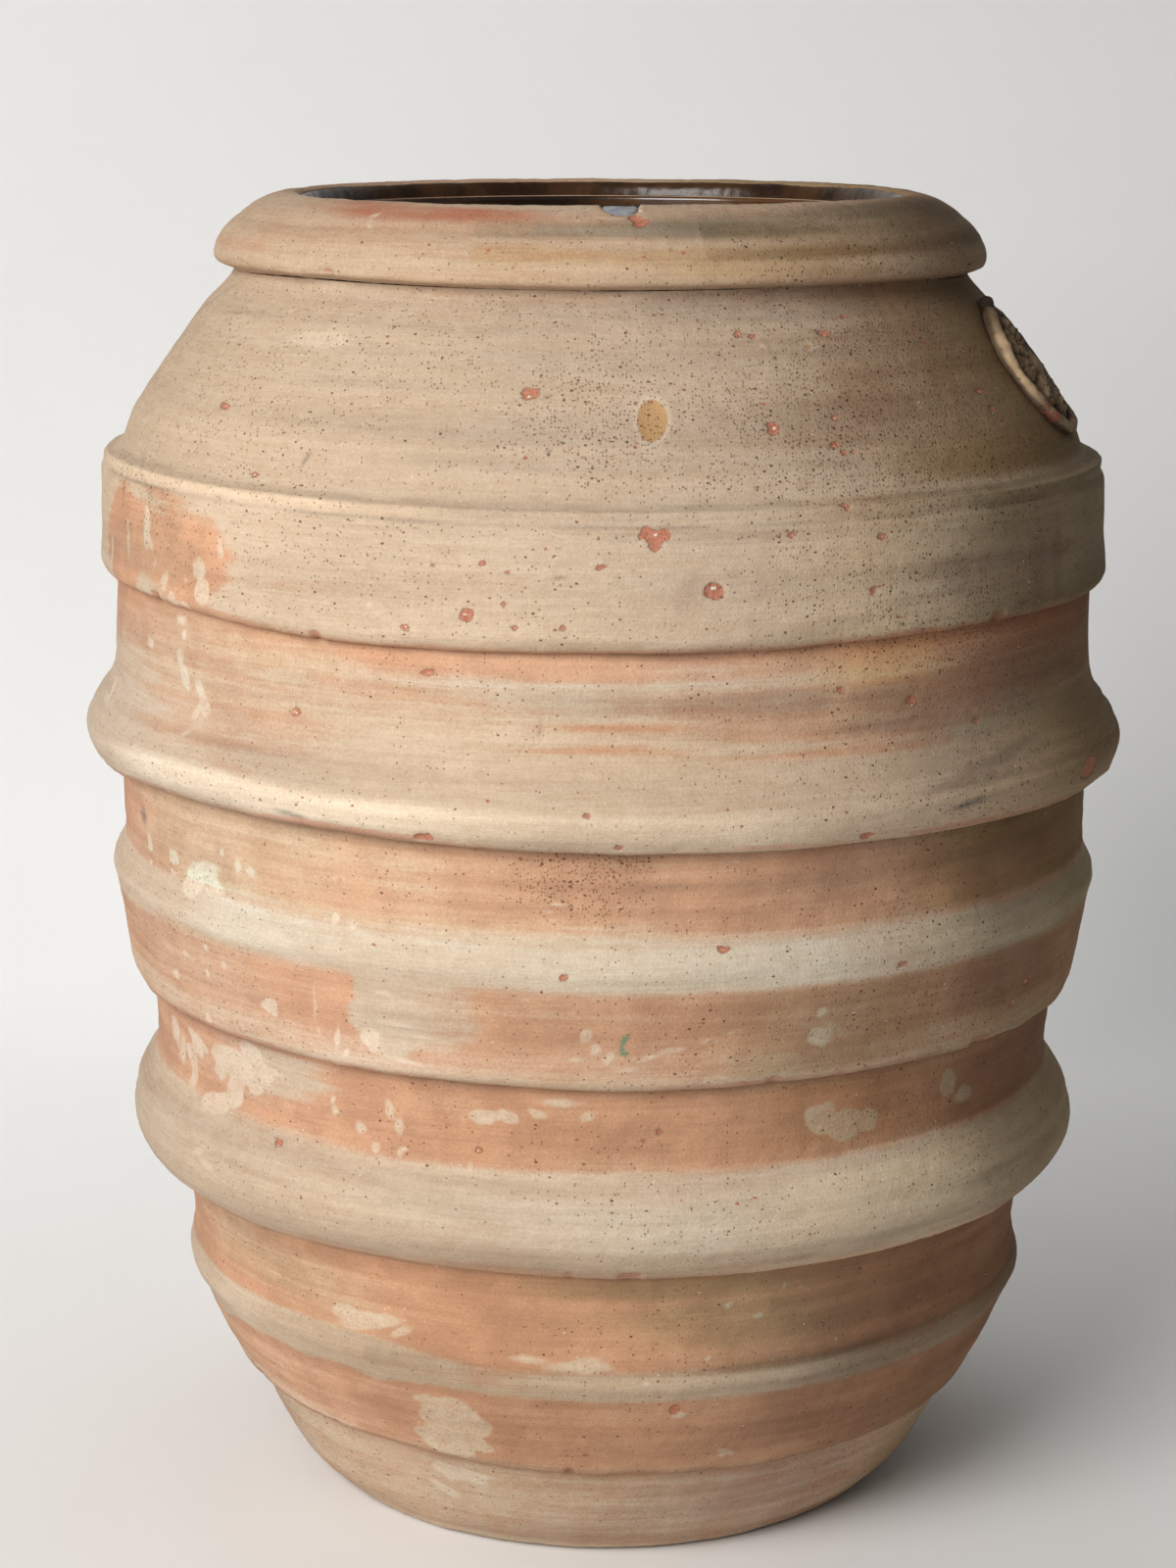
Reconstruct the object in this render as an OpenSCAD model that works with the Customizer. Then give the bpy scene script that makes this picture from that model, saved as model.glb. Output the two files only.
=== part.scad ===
// Banded terracotta olive jar, hand built.
// A floor slab carries six wall courses laid one on another. Five applied
// bands cover the joints between the courses, a thick rolled rim collar
// closes the shoulder, and a glaze lines the inside. An oval clay medallion
// sits on the shoulder, and a grey plug fills a chip in the rim.
// All sizes in millimetres. Z is up, z = 0 is the floor the jar stands on,
// and the front faces -Y.

/* [Overall] */
// Height of the rim crest above the floor
jar_h = 903; // [860:1:950]
// Thickness of the wall, measured level
wall_t = 25; // [20:1:32]
// Thickness of the floor slab
floor_t = 30; // [24:1:40]

/* [Outer wall radii] */
// Radius of the foot at the floor
r_foot = 207; // [200:1:214]
// Radius of the wall 30 mm up
r_heel = 232; // [228:1:236]
// Radius of the wall just under band 1
r_under_band_1 = 258; // [254:1:262]
// Radius of the wall just over band 1
r_over_band_1 = 293; // [290:1:296]
// Radius of the wall just under band 2
r_under_band_2 = 303; // [300:1:306]
// Radius of the wall just over band 2
r_over_band_2 = 314; // [311:1:317]
// Radius of the wall just under band 3
r_under_band_3 = 320; // [317:1:323]
// Radius of the wall at the widest part, from band 3 to band 5
r_belly = 337; // [334:1:340]
// Radius of the wall where the shoulder starts, over band 5
r_over_band_5 = 328; // [325:1:331]
// Radius of the neck under the rim collar
r_neck = 251; // [247:1:253]

/* [Bands: height of the bottom edge, and how proud they stand] */
// Bottom edge of band 1, a flat strap
band_1_z = 86; // [80:1:92]
// How far band 1 stands out at its bottom edge
band_1_out = 9; // [6:1:12]
// Bottom edge of band 2, a heavy roll
band_2_z = 232; // [228:1:236]
// How far band 2 stands out
band_2_out = 26; // [20:1:30]
// Bottom edge of band 3, a flat strap
band_3_z = 368; // [362:1:372]
// How far band 3 stands out at its bottom edge
band_3_out = 12; // [8:1:16]
// Bottom edge of band 4, the widest roll
band_4_z = 517; // [512:1:522]
// How far band 4 stands out
band_4_out = 24; // [18:1:28]
// Bottom edge of band 5, a flat strap under the shoulder
band_5_z = 647; // [642:1:652]
// How far band 5 stands out at its bottom edge
band_5_out = 11; // [8:1:14]

/* [Rim and mouth] */
// Radius of the mouth in the clay, before glazing
mouth_r = 202; // [198:1:206]
// Largest radius of the rolled rim
rim_r = 264; // [260:1:268]
// Height of the plain round land inside the mouth
land_h = 24; // [16:1:28]
// Thickness of the glaze
glaze_t = 1; // [0.6:0.1:1.5]

/* [Medallion] */
// Direction the medallion faces, measured from +X towards the front
medallion_turn = 17; // [0:1:90]
// Width of the medallion across the shoulder
medallion_w = 112; // [96:1:118]
// Height of the medallion up the slope
medallion_h = 108; // [96:1:116]
// Thickness of the clay plaque
plaque_t = 4; // [3:0.5:8]
// Height of the border roll above the plaque
border_out = 4.5; // [3:0.5:8]
// Width of the border roll
border_w = 9; // [6:0.5:12]
// Petals in the rosette
petals = 8; // [6:1:12]

/* [Rim chip fill] */
// Width of the plug that fills the chip in the rim
plug_w = 22; // [14:1:30]
// Depth of the plug below the rim crest
plug_d = 10; // [6:1:12]

/* [Hidden] */
$fn = 96;
eps = 0.001;

// heights that follow from the bands
neck_z = jar_h - 55;
shoulder_z = band_5_z + 91;
joint_1 = band_1_z + 38;
joint_2 = band_2_z + 36;
joint_3 = band_3_z + 38;
joint_4 = band_4_z + 28;
joint_5 = band_5_z + 40;

// stations of the bare outer wall: [height, radius]
STATIONS = [
    [0, r_foot], [4, r_foot + 5], [14, r_foot + 13], [30, r_heel],
    [band_1_z - 26, (r_heel + r_under_band_1) / 2 + 2.5],
    [band_1_z, r_under_band_1],
    [band_1_z + 40, (r_under_band_1 + r_over_band_1) / 2 + 1],
    [band_1_z + 92, r_over_band_1], [band_2_z, r_under_band_2],
    [band_2_z + 78, r_over_band_2], [band_3_z - 4, r_under_band_3],
    [band_3_z + 96, r_belly - 1], [band_4_z, r_belly + 0.5],
    [band_4_z + 70, r_belly + 1], [band_5_z, r_belly - 0.5],
    [band_5_z + 44, r_belly - 2], [band_5_z + 72, r_over_band_5 + 4.5],
    [shoulder_z, r_over_band_5], [shoulder_z + 14, r_over_band_5 - 5],
    [shoulder_z + 32, r_over_band_5 - 16], [shoulder_z + 52, r_over_band_5 - 29.5],
    [shoulder_z + 72, r_over_band_5 - 44.5], [shoulder_z + 90, r_over_band_5 - 59],
    [neck_z - 10, r_neck + 6.5], [neck_z, r_neck]];

// outer wall radius at a height
function wall(z) = lookup(z, STATIONS);

// inner wall radius at a height: the wall, less its thickness measured square
// to the slope
function slope(z) = (wall(z + 12) - wall(z - 12)) / 24;
function inner(z) = wall(z) - wall_t * sqrt(1 + pow(slope(z), 2));
INNER = concat(
    [[floor_t, r_foot - 17], [floor_t + 6, inner(40) - 9], [floor_t + 18, inner(50)]],
    [for (z = [75, 110, 150, 178, 205, 232, 290, 345, 405, 465, 545, 620, 690,
               724, 744, 758, 776, 796, 816]) if (z < neck_z - 25) [z, inner(z)]],
    [[neck_z - 12, mouth_r + 21], [neck_z, mouth_r + 12], [neck_z + 10, mouth_r + 4],
     [neck_z + 18, mouth_r], [neck_z + 18 + land_h, mouth_r]]);
function bore(z) = lookup(z, INNER);

// points of a height table between two heights, upward, as [radius, height]
function rise(t, a, b) = concat([[lookup(a, t), a]],
    [for (p = t) if (p[0] > a + eps && p[0] < b - eps) [p[1], p[0]]],
    [[lookup(b, t), b]]);
// the same, downward
function fall(t, a, b) = let (u = rise(t, a, b))
    [for (i = [len(u) - 1 : -1 : 0]) u[i]];

// a ring of wall between two heights
module course(a, b) {
    rotate_extrude() polygon(concat(rise(STATIONS, a, b), fall(INNER, a, b)));
}

// a flat strap: bottom edge z0, top edge z1, faded into the wall over `blend`,
// standing out p0 at the bottom and p1 at the top, with rounded arrises
module strap(z0, z1, blend, p0, p1, e = 4) {
    r0 = wall(z0) + p0;
    r1 = wall(z1) + p1;
    rotate_extrude() polygon(concat(
        fall(STATIONS, z0, z1 + blend),
        [[r0 - e, z0 - 0.5], [r0 - e * 0.3, z0 + e * 0.3], [r0, z0 + e],
         [(r0 + r1) / 2 + 0.6, (z0 + z1) / 2],
         [r1, z1 - e], [r1 - e * 0.25, z1 - e * 0.2],
         [r1 - e * 0.9, z1 + e * 0.6],
         [(r1 + 2 * wall(z1 + blend * 0.6)) / 3, z1 + blend * 0.6]]));
}

// a rolled band: bottom edge z0, crest zc, faded out at z1, standing out p
module roll(z0, zc, z1, p, k) {
    n = 9;
    rotate_extrude() polygon(concat(
        fall(STATIONS, z0, z1),
        [for (i = [1 : n]) let (s = 1 - i / n, z = zc - (zc - z0) * s)
            [wall(z) + p * sqrt(1 - s * s), z]],
        [for (i = [1 : n - 1]) let (t = i / n, z = zc + (z1 - zc) * t)
            [wall(z) + p * (1 - pow(t, k)) * (k > 1.9 ? pow(cos(90 * t), 1.2) : 1), z]]));
}

// where the medallion sits: centre height, radius and slope of the shoulder
med_z = shoulder_z + 53;
med_r = wall(med_z);
med_tilt = atan(-slope(med_z));

// a skin over the shoulder between two heights above the wall's surface
module skin(a, b) {
    k = 1 / cos(med_tilt);
    z0 = shoulder_z + 2;
    z1 = neck_z - 2;
    rotate([0, 0, -medallion_turn - 20]) rotate_extrude(angle = 40) polygon(concat(
        [for (p = rise(STATIONS, z0, z1)) [p[0] + b * k, p[1]]],
        [for (p = fall(STATIONS, z0, z1)) [p[0] + a * k, p[1]]]));
}

// a prism square to the shoulder at the medallion's centre. Its 2-D child
// has +X up the slope and +Y across it
module square_to_shoulder(h = 60) {
    rotate([0, 0, -medallion_turn]) translate([med_r, 0, med_z])
        rotate([0, 90 - med_tilt, 0]) translate([0, 0, -h / 2])
            linear_extrude(h) rotate(180) children();
}

// an oval w across and h up the slope
module oval(w, h, n = 40) {
    polygon([for (i = [0 : n - 1]) [h / 2 * cos(360 * i / n), w / 2 * sin(360 * i / n)]]);
}

// one petal, a lens between two arcs
module petal(l, w) {
    R = (l * l / 4 + w * w / 4) / w;
    translate([l / 2 + 4, 0]) intersection() {
        translate([0, R - w / 2]) circle(r = R);
        translate([0, -(R - w / 2)]) circle(r = R);
    }
}

// the whole rim collar before the chip is cut
module rim_solid() {
    zt = jar_h;
    zn = neck_z;
    rotate_extrude() polygon(concat(
        fall(INNER, zn, zn + 18 + land_h),
        [[r_neck, zn], [r_neck + 1, zn + 3], [r_neck + 4.5, zn + 5.2],
         [rim_r - 4.5, zn + 6.4], [rim_r - 1.5, zn + 8], [rim_r, zn + 11],
         [rim_r - 0.6, zn + 15], [rim_r - 3, zn + 20.5], [rim_r - 6.5, zn + 26],
         [rim_r - 11, zn + 32], [rim_r - 16, zn + 38], [rim_r - 22.5, zn + 43.5],
         [rim_r - 30, zn + 48.5], [rim_r - 38, zn + 52.5], [rim_r - 45, zn + 54.6],
         [mouth_r + 10, zt], [mouth_r + 5, zt - 1.8], [mouth_r + 1.5, zt - 6.5]]));
}

// the chip in the rim crest, right at the front
module chip() {
    rotate([0, 0, 3]) translate([-plug_w / 2, -mouth_r - 31, jar_h - plug_d])
        cube([plug_w, 40, plug_d + 5]);
}

module floor_slab() color("#b78a68") rotate_extrude() polygon(concat(
    [[0, floor_t], [0, 0]], rise(STATIONS, 0, floor_t)));
module foot_course() color("#b8906c") course(floor_t, joint_1);
module lower_course() color("#c48a63") course(joint_1, joint_2);
module middle_course() color("#c88a64") course(joint_2, joint_3);
module belly_course() color("#cd9069") course(joint_3, joint_4);
module upper_course() color("#c99670") course(joint_4, joint_5);
module shoulder_course() color("#a8947a") course(joint_5, neck_z);
module rim_collar() color("#b59a7d") difference() { rim_solid(); chip(); }
module band_1_flat() color("#b88a68") strap(band_1_z, band_1_z + 76, 24, band_1_out, 9.5);
module band_2_roll() color("#b7a387") roll(band_2_z, band_2_z + 34, band_2_z + 77, band_2_out, 1.7);
module band_3_flat() color("#b9906e") strap(band_3_z, band_3_z + 76, 20, band_3_out, 11.5, 5);
module band_4_roll() color("#b79e80") roll(band_4_z, band_4_z + 22, band_4_z + 70, band_4_out, 2);
module band_5_flat() color("#b6a184") strap(band_5_z, band_5_z + 78, 13, band_5_out, 15, 5);
module glaze_lining() color("#3a2a1a") {
    top = neck_z + 18 + land_h;
    rotate_extrude() polygon(concat([[0, floor_t]],
        rise(INNER, floor_t, top),
        [for (p = fall(INNER, floor_t + glaze_t, top)) [p[0] - glaze_t, p[1]]],
        [[0, floor_t + glaze_t]]));
}
module medallion_plaque() color("#96866b") intersection() {
    skin(0, plaque_t);
    square_to_shoulder() oval(medallion_w, medallion_h);
}
module medallion_border() color("#b39c7e") intersection() {
    skin(plaque_t, plaque_t + border_out);
    square_to_shoulder() difference() {
        oval(medallion_w - 0.6, medallion_h - 0.6);
        oval(medallion_w - 0.6 - 2 * border_w, medallion_h - 0.6 - 2 * border_w);
    }
}
module medallion_rosette() color("#8f7f64") intersection() {
    skin(plaque_t, plaque_t + 3.5);
    square_to_shoulder() difference() {
        union() {
            circle(r = 16);
            for (i = [0 : petals - 1]) rotate(i * 360 / petals) petal(32, 15);
        }
        circle(r = 10);
    }
}
module medallion_boss() color("#8a7a60") intersection() {
    skin(plaque_t, plaque_t + 5.5);
    square_to_shoulder() circle(r = 10);
}
module medallion_nub() color("#4c4335") intersection() {
    skin(plaque_t + border_out, plaque_t + border_out + 3);
    square_to_shoulder() translate([medallion_h / 2 - 5, 0]) circle(r = 4.5);
}
module rim_chip_fill() color("#8d8f93") intersection() { rim_solid(); chip(); }

floor_slab();
foot_course();
lower_course();
middle_course();
belly_course();
upper_course();
shoulder_course();
rim_collar();
band_1_flat();
band_2_roll();
band_3_flat();
band_4_roll();
band_5_flat();
glaze_lining();
medallion_plaque();
medallion_border();
medallion_rosette();
medallion_boss();
medallion_nub();
rim_chip_fill();
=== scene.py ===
"""Banded terracotta olive jar: the looks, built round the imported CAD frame.

The outside of the jar is one shared surface, a profile turned round the axis
and then tilted, wavered, scraped, chipped and pitted. It is cut into the same
pieces as the CAD: floor slab, wall courses, bands and rim. Every piece is a
closed mesh of its own and rides on the one body.
"""
import math

import bpy
import numpy as np
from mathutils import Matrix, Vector


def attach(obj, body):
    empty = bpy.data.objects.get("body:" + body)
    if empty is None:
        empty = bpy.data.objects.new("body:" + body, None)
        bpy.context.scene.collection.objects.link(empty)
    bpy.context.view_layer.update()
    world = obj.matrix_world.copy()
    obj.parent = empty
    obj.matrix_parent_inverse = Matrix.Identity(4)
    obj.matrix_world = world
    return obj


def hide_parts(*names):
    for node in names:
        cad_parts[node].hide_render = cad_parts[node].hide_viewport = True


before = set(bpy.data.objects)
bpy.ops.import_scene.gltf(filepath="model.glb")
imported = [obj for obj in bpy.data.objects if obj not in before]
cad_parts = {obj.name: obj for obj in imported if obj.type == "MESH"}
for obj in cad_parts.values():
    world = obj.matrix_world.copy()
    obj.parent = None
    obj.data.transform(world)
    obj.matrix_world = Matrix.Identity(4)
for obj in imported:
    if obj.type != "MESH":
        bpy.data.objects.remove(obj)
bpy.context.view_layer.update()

# ------------------------------------------------------------------ camera
FOCAL_PX = 3400.0
CAM = np.array([-10.6, -2306.0, 1000.0])
PITCH = math.radians(12.52)

cam_data = bpy.data.cameras.new("camera")
cam_data.sensor_fit = "AUTO"
cam_data.sensor_width = 36.0
cam_data.lens = FOCAL_PX / 1600.0 * 36.0
cam_data.clip_start = 0.05
cam_data.clip_end = 50.0
cam = bpy.data.objects.new("camera", cam_data)
cam.location = CAM * 0.001
cam.rotation_euler = (math.pi / 2 - PITCH, 0.0, 0.0)
bpy.context.scene.collection.objects.link(cam)
bpy.context.scene.camera = cam

# ------------------------------------------------------------------ fields
TAU = 2.0 * math.pi
N = 960
AZ = np.arange(N) / N * TAU
FU, FV = 2048, 1024
Z_LO, Z_HI = -30.0, 930.0
R_REF = 330.0


def field(seed, lu, lv):
    """Smooth noise round the jar, of unit spread: lu is how far a patch runs
    round the jar and lv how far up it, in mm."""
    rng = np.random.default_rng(seed)
    g = rng.standard_normal((FV, FU))
    ku = np.fft.rfftfreq(FU, d=TAU * R_REF / FU) * TAU
    kv = np.fft.fftfreq(FV, d=(Z_HI - Z_LO) / FV) * TAU
    flt = np.exp(-0.5 * ((ku[None, :] * lu) ** 2 + (kv[:, None] * lv) ** 2))
    f = np.fft.irfft2(np.fft.rfft2(g) * flt, s=(FV, FU))
    f -= f.mean()
    return (f / f.std()).astype(np.float32)


def sample(f, th, z):
    u = (th / TAU % 1.0) * FU
    v = np.clip((z - Z_LO) / (Z_HI - Z_LO) * FV, 0, FV - 1.001)
    u0 = np.floor(u).astype(int)
    v0 = np.floor(v).astype(int)
    fu = u - u0
    fv = v - v0
    u0 %= FU
    u1 = (u0 + 1) % FU
    a = f[v0, u0] * (1 - fu) + f[v0, u1] * fu
    b = f[v0 + 1, u0] * (1 - fu) + f[v0 + 1, u1] * fu
    return a * (1 - fv) + b * fv


def smooth(a, b, x):
    t = np.clip((x - a) / (b - a), 0.0, 1.0)
    return t * t * (3 - 2 * t)


def lin(c):
    """A colour seen as these 0 to 255 values in full light, as an albedo."""
    c = np.array(c, float) / 255.0
    return np.where(c <= 0.04045, c / 12.92, ((c + 0.055) / 1.055) ** 2.4) * 0.80


# ------------------------------------------------------------------ profile
# [radius, height] in mm. Each curve runs between two creases.
CURVES = [
    ("foot", [(200, 0.4), (204.5, 0.9), (208, 3), (211.5, 7), (216.8, 12), (223.5, 19),
              (231.4, 30), (237.4, 41), (243.4, 53), (248.9, 66), (253.6, 77), (257, 84.4)]),
    ("b1", [(257.2, 84.4), (262, 83.8), (265.6, 85.2), (267.8, 88.4), (270.3, 93.5),
            (279.4, 111.5), (286.2, 128), (292.2, 142.5), (295.8, 149.5), (297.8, 153.5),
            (298.3, 157), (297.7, 160.6), (296.7, 165), (295.9, 171), (295.0, 179),
            (295.1, 193), (297.4, 206), (300.2, 219), (302.8, 231.6)]),
    ("b2", [(303, 231.8), (309, 231.4), (314.4, 233.2), (318.5, 236.6), (322.6, 240.4),
            (326.6, 244.8), (330, 249.2), (333, 254.6), (334.8, 260), (335.4, 266),
            (334.8, 271.4), (333.4, 277), (331.9, 282.4), (328.9, 288.6), (323.6, 296.4),
            (319.4, 302.5), (317, 308.5), (316, 316), (316.5, 325), (317.6, 338),
            (319, 352), (320.4, 366.6)]),
    ("b3", [(320.6, 366.8), (326, 366.2), (330.4, 367.6), (332.8, 371), (334, 376),
            (335.4, 384), (336.8, 393), (338.2, 403), (340.2, 415), (342, 427),
            (343.7, 436.5), (344.7, 442), (344.5, 445.4), (343.2, 448.6), (340.8, 453),
            (338.4, 458), (337, 463), (336.5, 470), (336.7, 480), (337, 492),
            (337.3, 505), (337.5, 516.4)]),
    ("b4", [(337.6, 516.6), (341.5, 516.6), (346, 517.2), (350.4, 518.4), (353.6, 520.4), (356.6, 525),
            (358.8, 530.2), (360.3, 535.4), (360.8, 540), (360.2, 544.6), (358.2, 549.4),
            (355.2, 554.8), (351.8, 560), (348.4, 565), (345, 570), (342, 575.2),
            (339.8, 581), (338.6, 587), (338.1, 594), (338, 606), (337.8, 620),
            (337.4, 634), (336.9, 645)]),
    ("b5", [(337, 645.2), (341.4, 645.2), (344.8, 647), (346.9, 650.8), (347.4, 655.6),
            (347.1, 661), (346.5, 668), (346, 680), (345.8, 700), (345.9, 713),
            (345.5, 719.5), (344, 723.6), (341, 727), (336.6, 730.4), (332.6, 733.4),
            (330.1, 736.4), (328.6, 739.4), (327.2, 743.4), (325.5, 748), (323.3, 753),
            (320.2, 758.4), (315.2, 766.4), (309.5, 775.4), (302.4, 785.6), (294.6, 796),
            (287, 806), (279.5, 816), (272.2, 825), (265.2, 832.4), (259, 838.6),
            (254.6, 843.6), (251.8, 847.2), (250.6, 849.6)]),
    ("lip", [(250.8, 849.8), (252.6, 851.0), (255.8, 852.0), (259.6, 853.3), (262.2, 854.5),
             (263.6, 856.2), (263.9, 858.8), (263.1, 863.4), (261.2, 869.2), (258.4, 874),
             (255.2, 878.4), (251.2, 882.8), (246.6, 887), (241.4, 891), (235.4, 895),
             (229, 898.4), (222.4, 900.8), (216.4, 902.1), (211.6, 902.3), (207.8, 901.2),
             (205, 898.6), (203.4, 895), (202.6, 890.8)]),
]


def curve(pts, step):
    """A smooth curve through the points, with rows about `step` mm apart."""
    p = np.array(pts, float)
    d = np.hypot(*(p[1:] - p[:-1]).T)
    s = np.concatenate([[0], np.cumsum(d)])
    m = np.zeros_like(p)
    m[1:-1] = ((p[1:-1] - p[:-2]) / d[:-1, None] * d[1:, None]
               + (p[2:] - p[1:-1]) / d[1:, None] * d[:-1, None]) / (d[:-1] + d[1:])[:, None]
    m[0] = (p[1] - p[0]) / d[0]
    m[-1] = (p[-1] - p[-2]) / d[-1]
    k = max(2, int(round(s[-1] / step)) + 1)
    t = np.linspace(0, s[-1], k)
    i = np.clip(np.searchsorted(s, t, side="right") - 1, 0, len(d) - 1)
    h = d[i][:, None]
    x = ((t - s[i]) / d[i])[:, None]
    return ((2 * x**3 - 3 * x**2 + 1) * p[i] + (x**3 - 2 * x**2 + x) * h * m[i]
            + (-2 * x**3 + 3 * x**2) * p[i + 1] + (x**3 - x**2) * h * m[i + 1])


STEP = 2.3
rows_r, rows_z, rows_c, first = [], [], [], {}
for ci, (cname, pts) in enumerate(CURVES):
    q = curve(pts, 1.9 if cname == "lip" else STEP)
    first[cname] = len(rows_r)
    rows_r += list(q[:, 0])
    rows_z += list(q[:, 1])
    rows_c += [ci] * len(q)
RR = np.array(rows_r)
RZ = np.array(rows_z)
RC = np.array(rows_c)
M = len(RR)
last = {c: (first[CURVES[i + 1][0]] if i + 1 < len(CURVES) else M) - 1
        for i, (c, _) in enumerate(CURVES)}

# outward normals of the profile, row by row, never across a crease
NR, NZ, SS = np.zeros(M), np.zeros(M), np.zeros(M)
for c in first:
    a, b = first[c], last[c]
    dr = np.gradient(RR[a:b + 1])
    dz = np.gradient(RZ[a:b + 1])
    ln = np.hypot(dr, dz)
    NR[a:b + 1] = dz / ln
    NZ[a:b + 1] = -dr / ln
    SS[a:b + 1] = (SS[a - 1] if a else 0) + np.concatenate([[0], np.cumsum(np.hypot(np.diff(RR[a:b + 1]), np.diff(RZ[a:b + 1])))])


def row_at(c, z):
    """The row of curve c where it first passes height z on its way up."""
    a, b = first[c], last[c]
    k = a + int(np.argmax(RZ[a:b + 1] >= z))
    return k


# bare wall and inside, as in the CAD
WALL = np.array([(0, 207), (4, 212), (14, 220), (30, 232), (60, 247.5), (86, 258),
                 (126, 276.5), (178, 293), (232, 303), (310, 314), (364, 320), (464, 336),
                 (517, 337.5), (587, 338), (647, 336.5), (691, 335), (719, 332.5),
                 (738, 328), (752, 323), (770, 312), (790, 298.5), (810, 283.5),
                 (828, 269), (838, 257.5), (848, 251)])


def wall(z):
    return np.interp(z, WALL[:, 0], WALL[:, 1])


def inner(z):
    sl = (wall(z + 12) - wall(z - 12)) / 24
    return wall(z) - 25 * np.sqrt(1 + sl**2)


INNER = np.array([(30, 190), (36, inner(40) - 9), (48, inner(50))]
                 + [(z, inner(z)) for z in (75, 110, 150, 178, 205, 232, 290, 345, 405, 465,
                                            545, 620, 690, 724, 744, 758, 776, 796, 816)]
                 + [(836, 223), (848, 214), (858, 206), (866, 202), (890, 202)])


def inside(z):
    return np.interp(z, INNER[:, 0], INNER[:, 1])


# ------------------------------------------------------------------ waver
# How far each edge sits above its level line, by azimuth in degrees
# (-180 is the left, -90 the front, 0 the right, 90 the back).
WAVER = [
    (0, [(-180, 0), (180, 0)]),
    (86, [(-180, 2.5), (-155, 4.4), (-145, 3.2), (-125, 2.8), (-115, 1), (-105, -2), (-95, -3.8),
          (-85, -4.4), (-75, -5), (-65, -5.2), (-50, -4.8), (-35, -3.6), (-20, -2.8), (0, -2.6), (60, -0.6), (120, 1.6)]),
    (165, [(-180, 4), (-140, 3.2), (-100, 0.6), (-70, -1.2), (-30, -3.6), (0, -4),
           (60, -1.4), (120, 2.2)]),
    (237, [(-180, 2.2), (-155, 2.6), (-145, 2.8), (-135, 4.4), (-125, 6), (-115, 6.2), (-105, 5.8), (-95, 4),
           (-85, 3.4), (-75, 3.2), (-65, 2.4), (-55, 1.4), (-45, 0), (-35, -2.4), (0, -3), (60, -0.8), (120, 1.2)]),
    (300, [(-180, 3.4), (-140, 3), (-105, 1), (-85, -0.2), (-50, -1.6), (-20, -3.2),
           (0, -3.4), (60, -0.8), (120, 1.6)]),
    (370, [(-180, 4), (-155, 3.8), (-145, 3.4), (-125, 1.8), (-105, 1.4), (-95, -0.6), (-85, -1.4), (-70, -2.2), (-55, -0.6),
           (-40, -2), (-15, -2.2), (0, -2.4), (60, -1), (120, 2)]),
    (444, [(-180, 4.4), (-140, 3.6), (-105, 1.2), (-80, -0.4), (-50, -2), (-10, -4),
           (0, -4.2), (60, -1.2), (120, 2.4)]),
    (522, [(-180, 4.4), (-165, 6), (-155, 8.4), (-145, 10.4), (-135, 10.8), (-125, 9.6), (-115, 7.6), (-105, 6.2),
           (-95, 4.2), (-85, 3.4), (-75, 2.8), (-65, 2.6), (-55, 2.2), (-45, 1.6), (-35, 0.4), (-25, -1.4), (-10, -4.4),
           (0, -5), (60, -1.6), (120, 2.2)]),
    (585, [(-180, 4.6), (-140, 3.6), (-100, 1), (-70, -1), (-35, -3), (0, -4.6),
           (60, -1.4), (120, 2.4)]),
    (648, [(-180, 5), (-148, 6.6), (-136, 2), (-125, -0.8), (-112, -1.8), (-95, -1.6), (-75, -1.6), (-60, 0), (-50, 1.2),
           (-30, 1), (-8, -3), (10, -4), (60, -1), (120, 2.4)]),
    (725, [(-180, 4), (-150, 3.8), (-120, 1), (-90, -0.6), (-60, -0.6), (-30, -2),
           (0, -4.4), (60, -1.4), (120, 2)]),
    (848, [(-180, 3), (-150, 2.6), (-120, 1.2), (-90, -0.2), (-50, 0.6), (-20, -0.4),
           (0, -1.4), (60, -0.6), (120, 1)]),
    (858, [(-180, 3.6), (-160, 4.4), (-145, 4.4), (-135, 3.4), (-120, 2.9), (-95, 2.2), (-80, 1.5), (-65, 2.6),
           (-55, 3.4), (-45, 2.6), (-35, 2), (-20, -0.2), (0, -0.6), (60, -0.4), (120, 1.4)]),
    (902, [(-180, 0.6), (-90, 0), (0, -0.6), (90, 0)]),
]
deg = (np.degrees(AZ) + 180) % 360 - 180
wtab = []
for wz, tab in WAVER:
    t = sorted(tab)
    xs = np.array([p[0] for p in t], float)
    ys = np.array([p[1] for p in t], float)
    v = np.interp(deg, np.concatenate([xs - 360, xs, xs + 360]), np.concatenate([ys, ys, ys]))
    k = np.fft.rfftfreq(N, d=1.0 / N)
    v = np.fft.irfft(np.fft.rfft(v) * np.exp(-0.5 * (k / 13.0) ** 2), n=N)
    wtab.append(v)
wtab = np.array(wtab)
wz = np.array([w[0] for w in WAVER], float)


def waver(z, cols=slice(None)):
    """Lift of the surface at heights z (M,) for each azimuth column (M, N)."""
    z = np.atleast_1d(z)
    i = np.clip(np.searchsorted(wz, z) - 1, 0, len(wz) - 2)
    t = np.clip((z - wz[i]) / (wz[i + 1] - wz[i]), 0, 1)[:, None]
    t = t * t * (3 - 2 * t)
    return (wtab[i] * (1 - t) + wtab[i + 1] * t)[:, cols]


def round_out(z):
    """How far the wall is out of round at heights z (M, N), in mm."""
    z = np.atleast_1d(z)[:, None]
    a = AZ[None, :]
    w = (0.9 * np.cos(2 * a + 0.6 + z / 260) + 0.5 * np.cos(3 * a - 1.1 + z / 190)
         - 0.8 * np.cos(a) * smooth(760, 880, z)
         - 1.4 * np.cos(a) * smooth(140, 330, z) * (1 - smooth(330, 500, z)))
    return w * smooth(0, 60, z)


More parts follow.
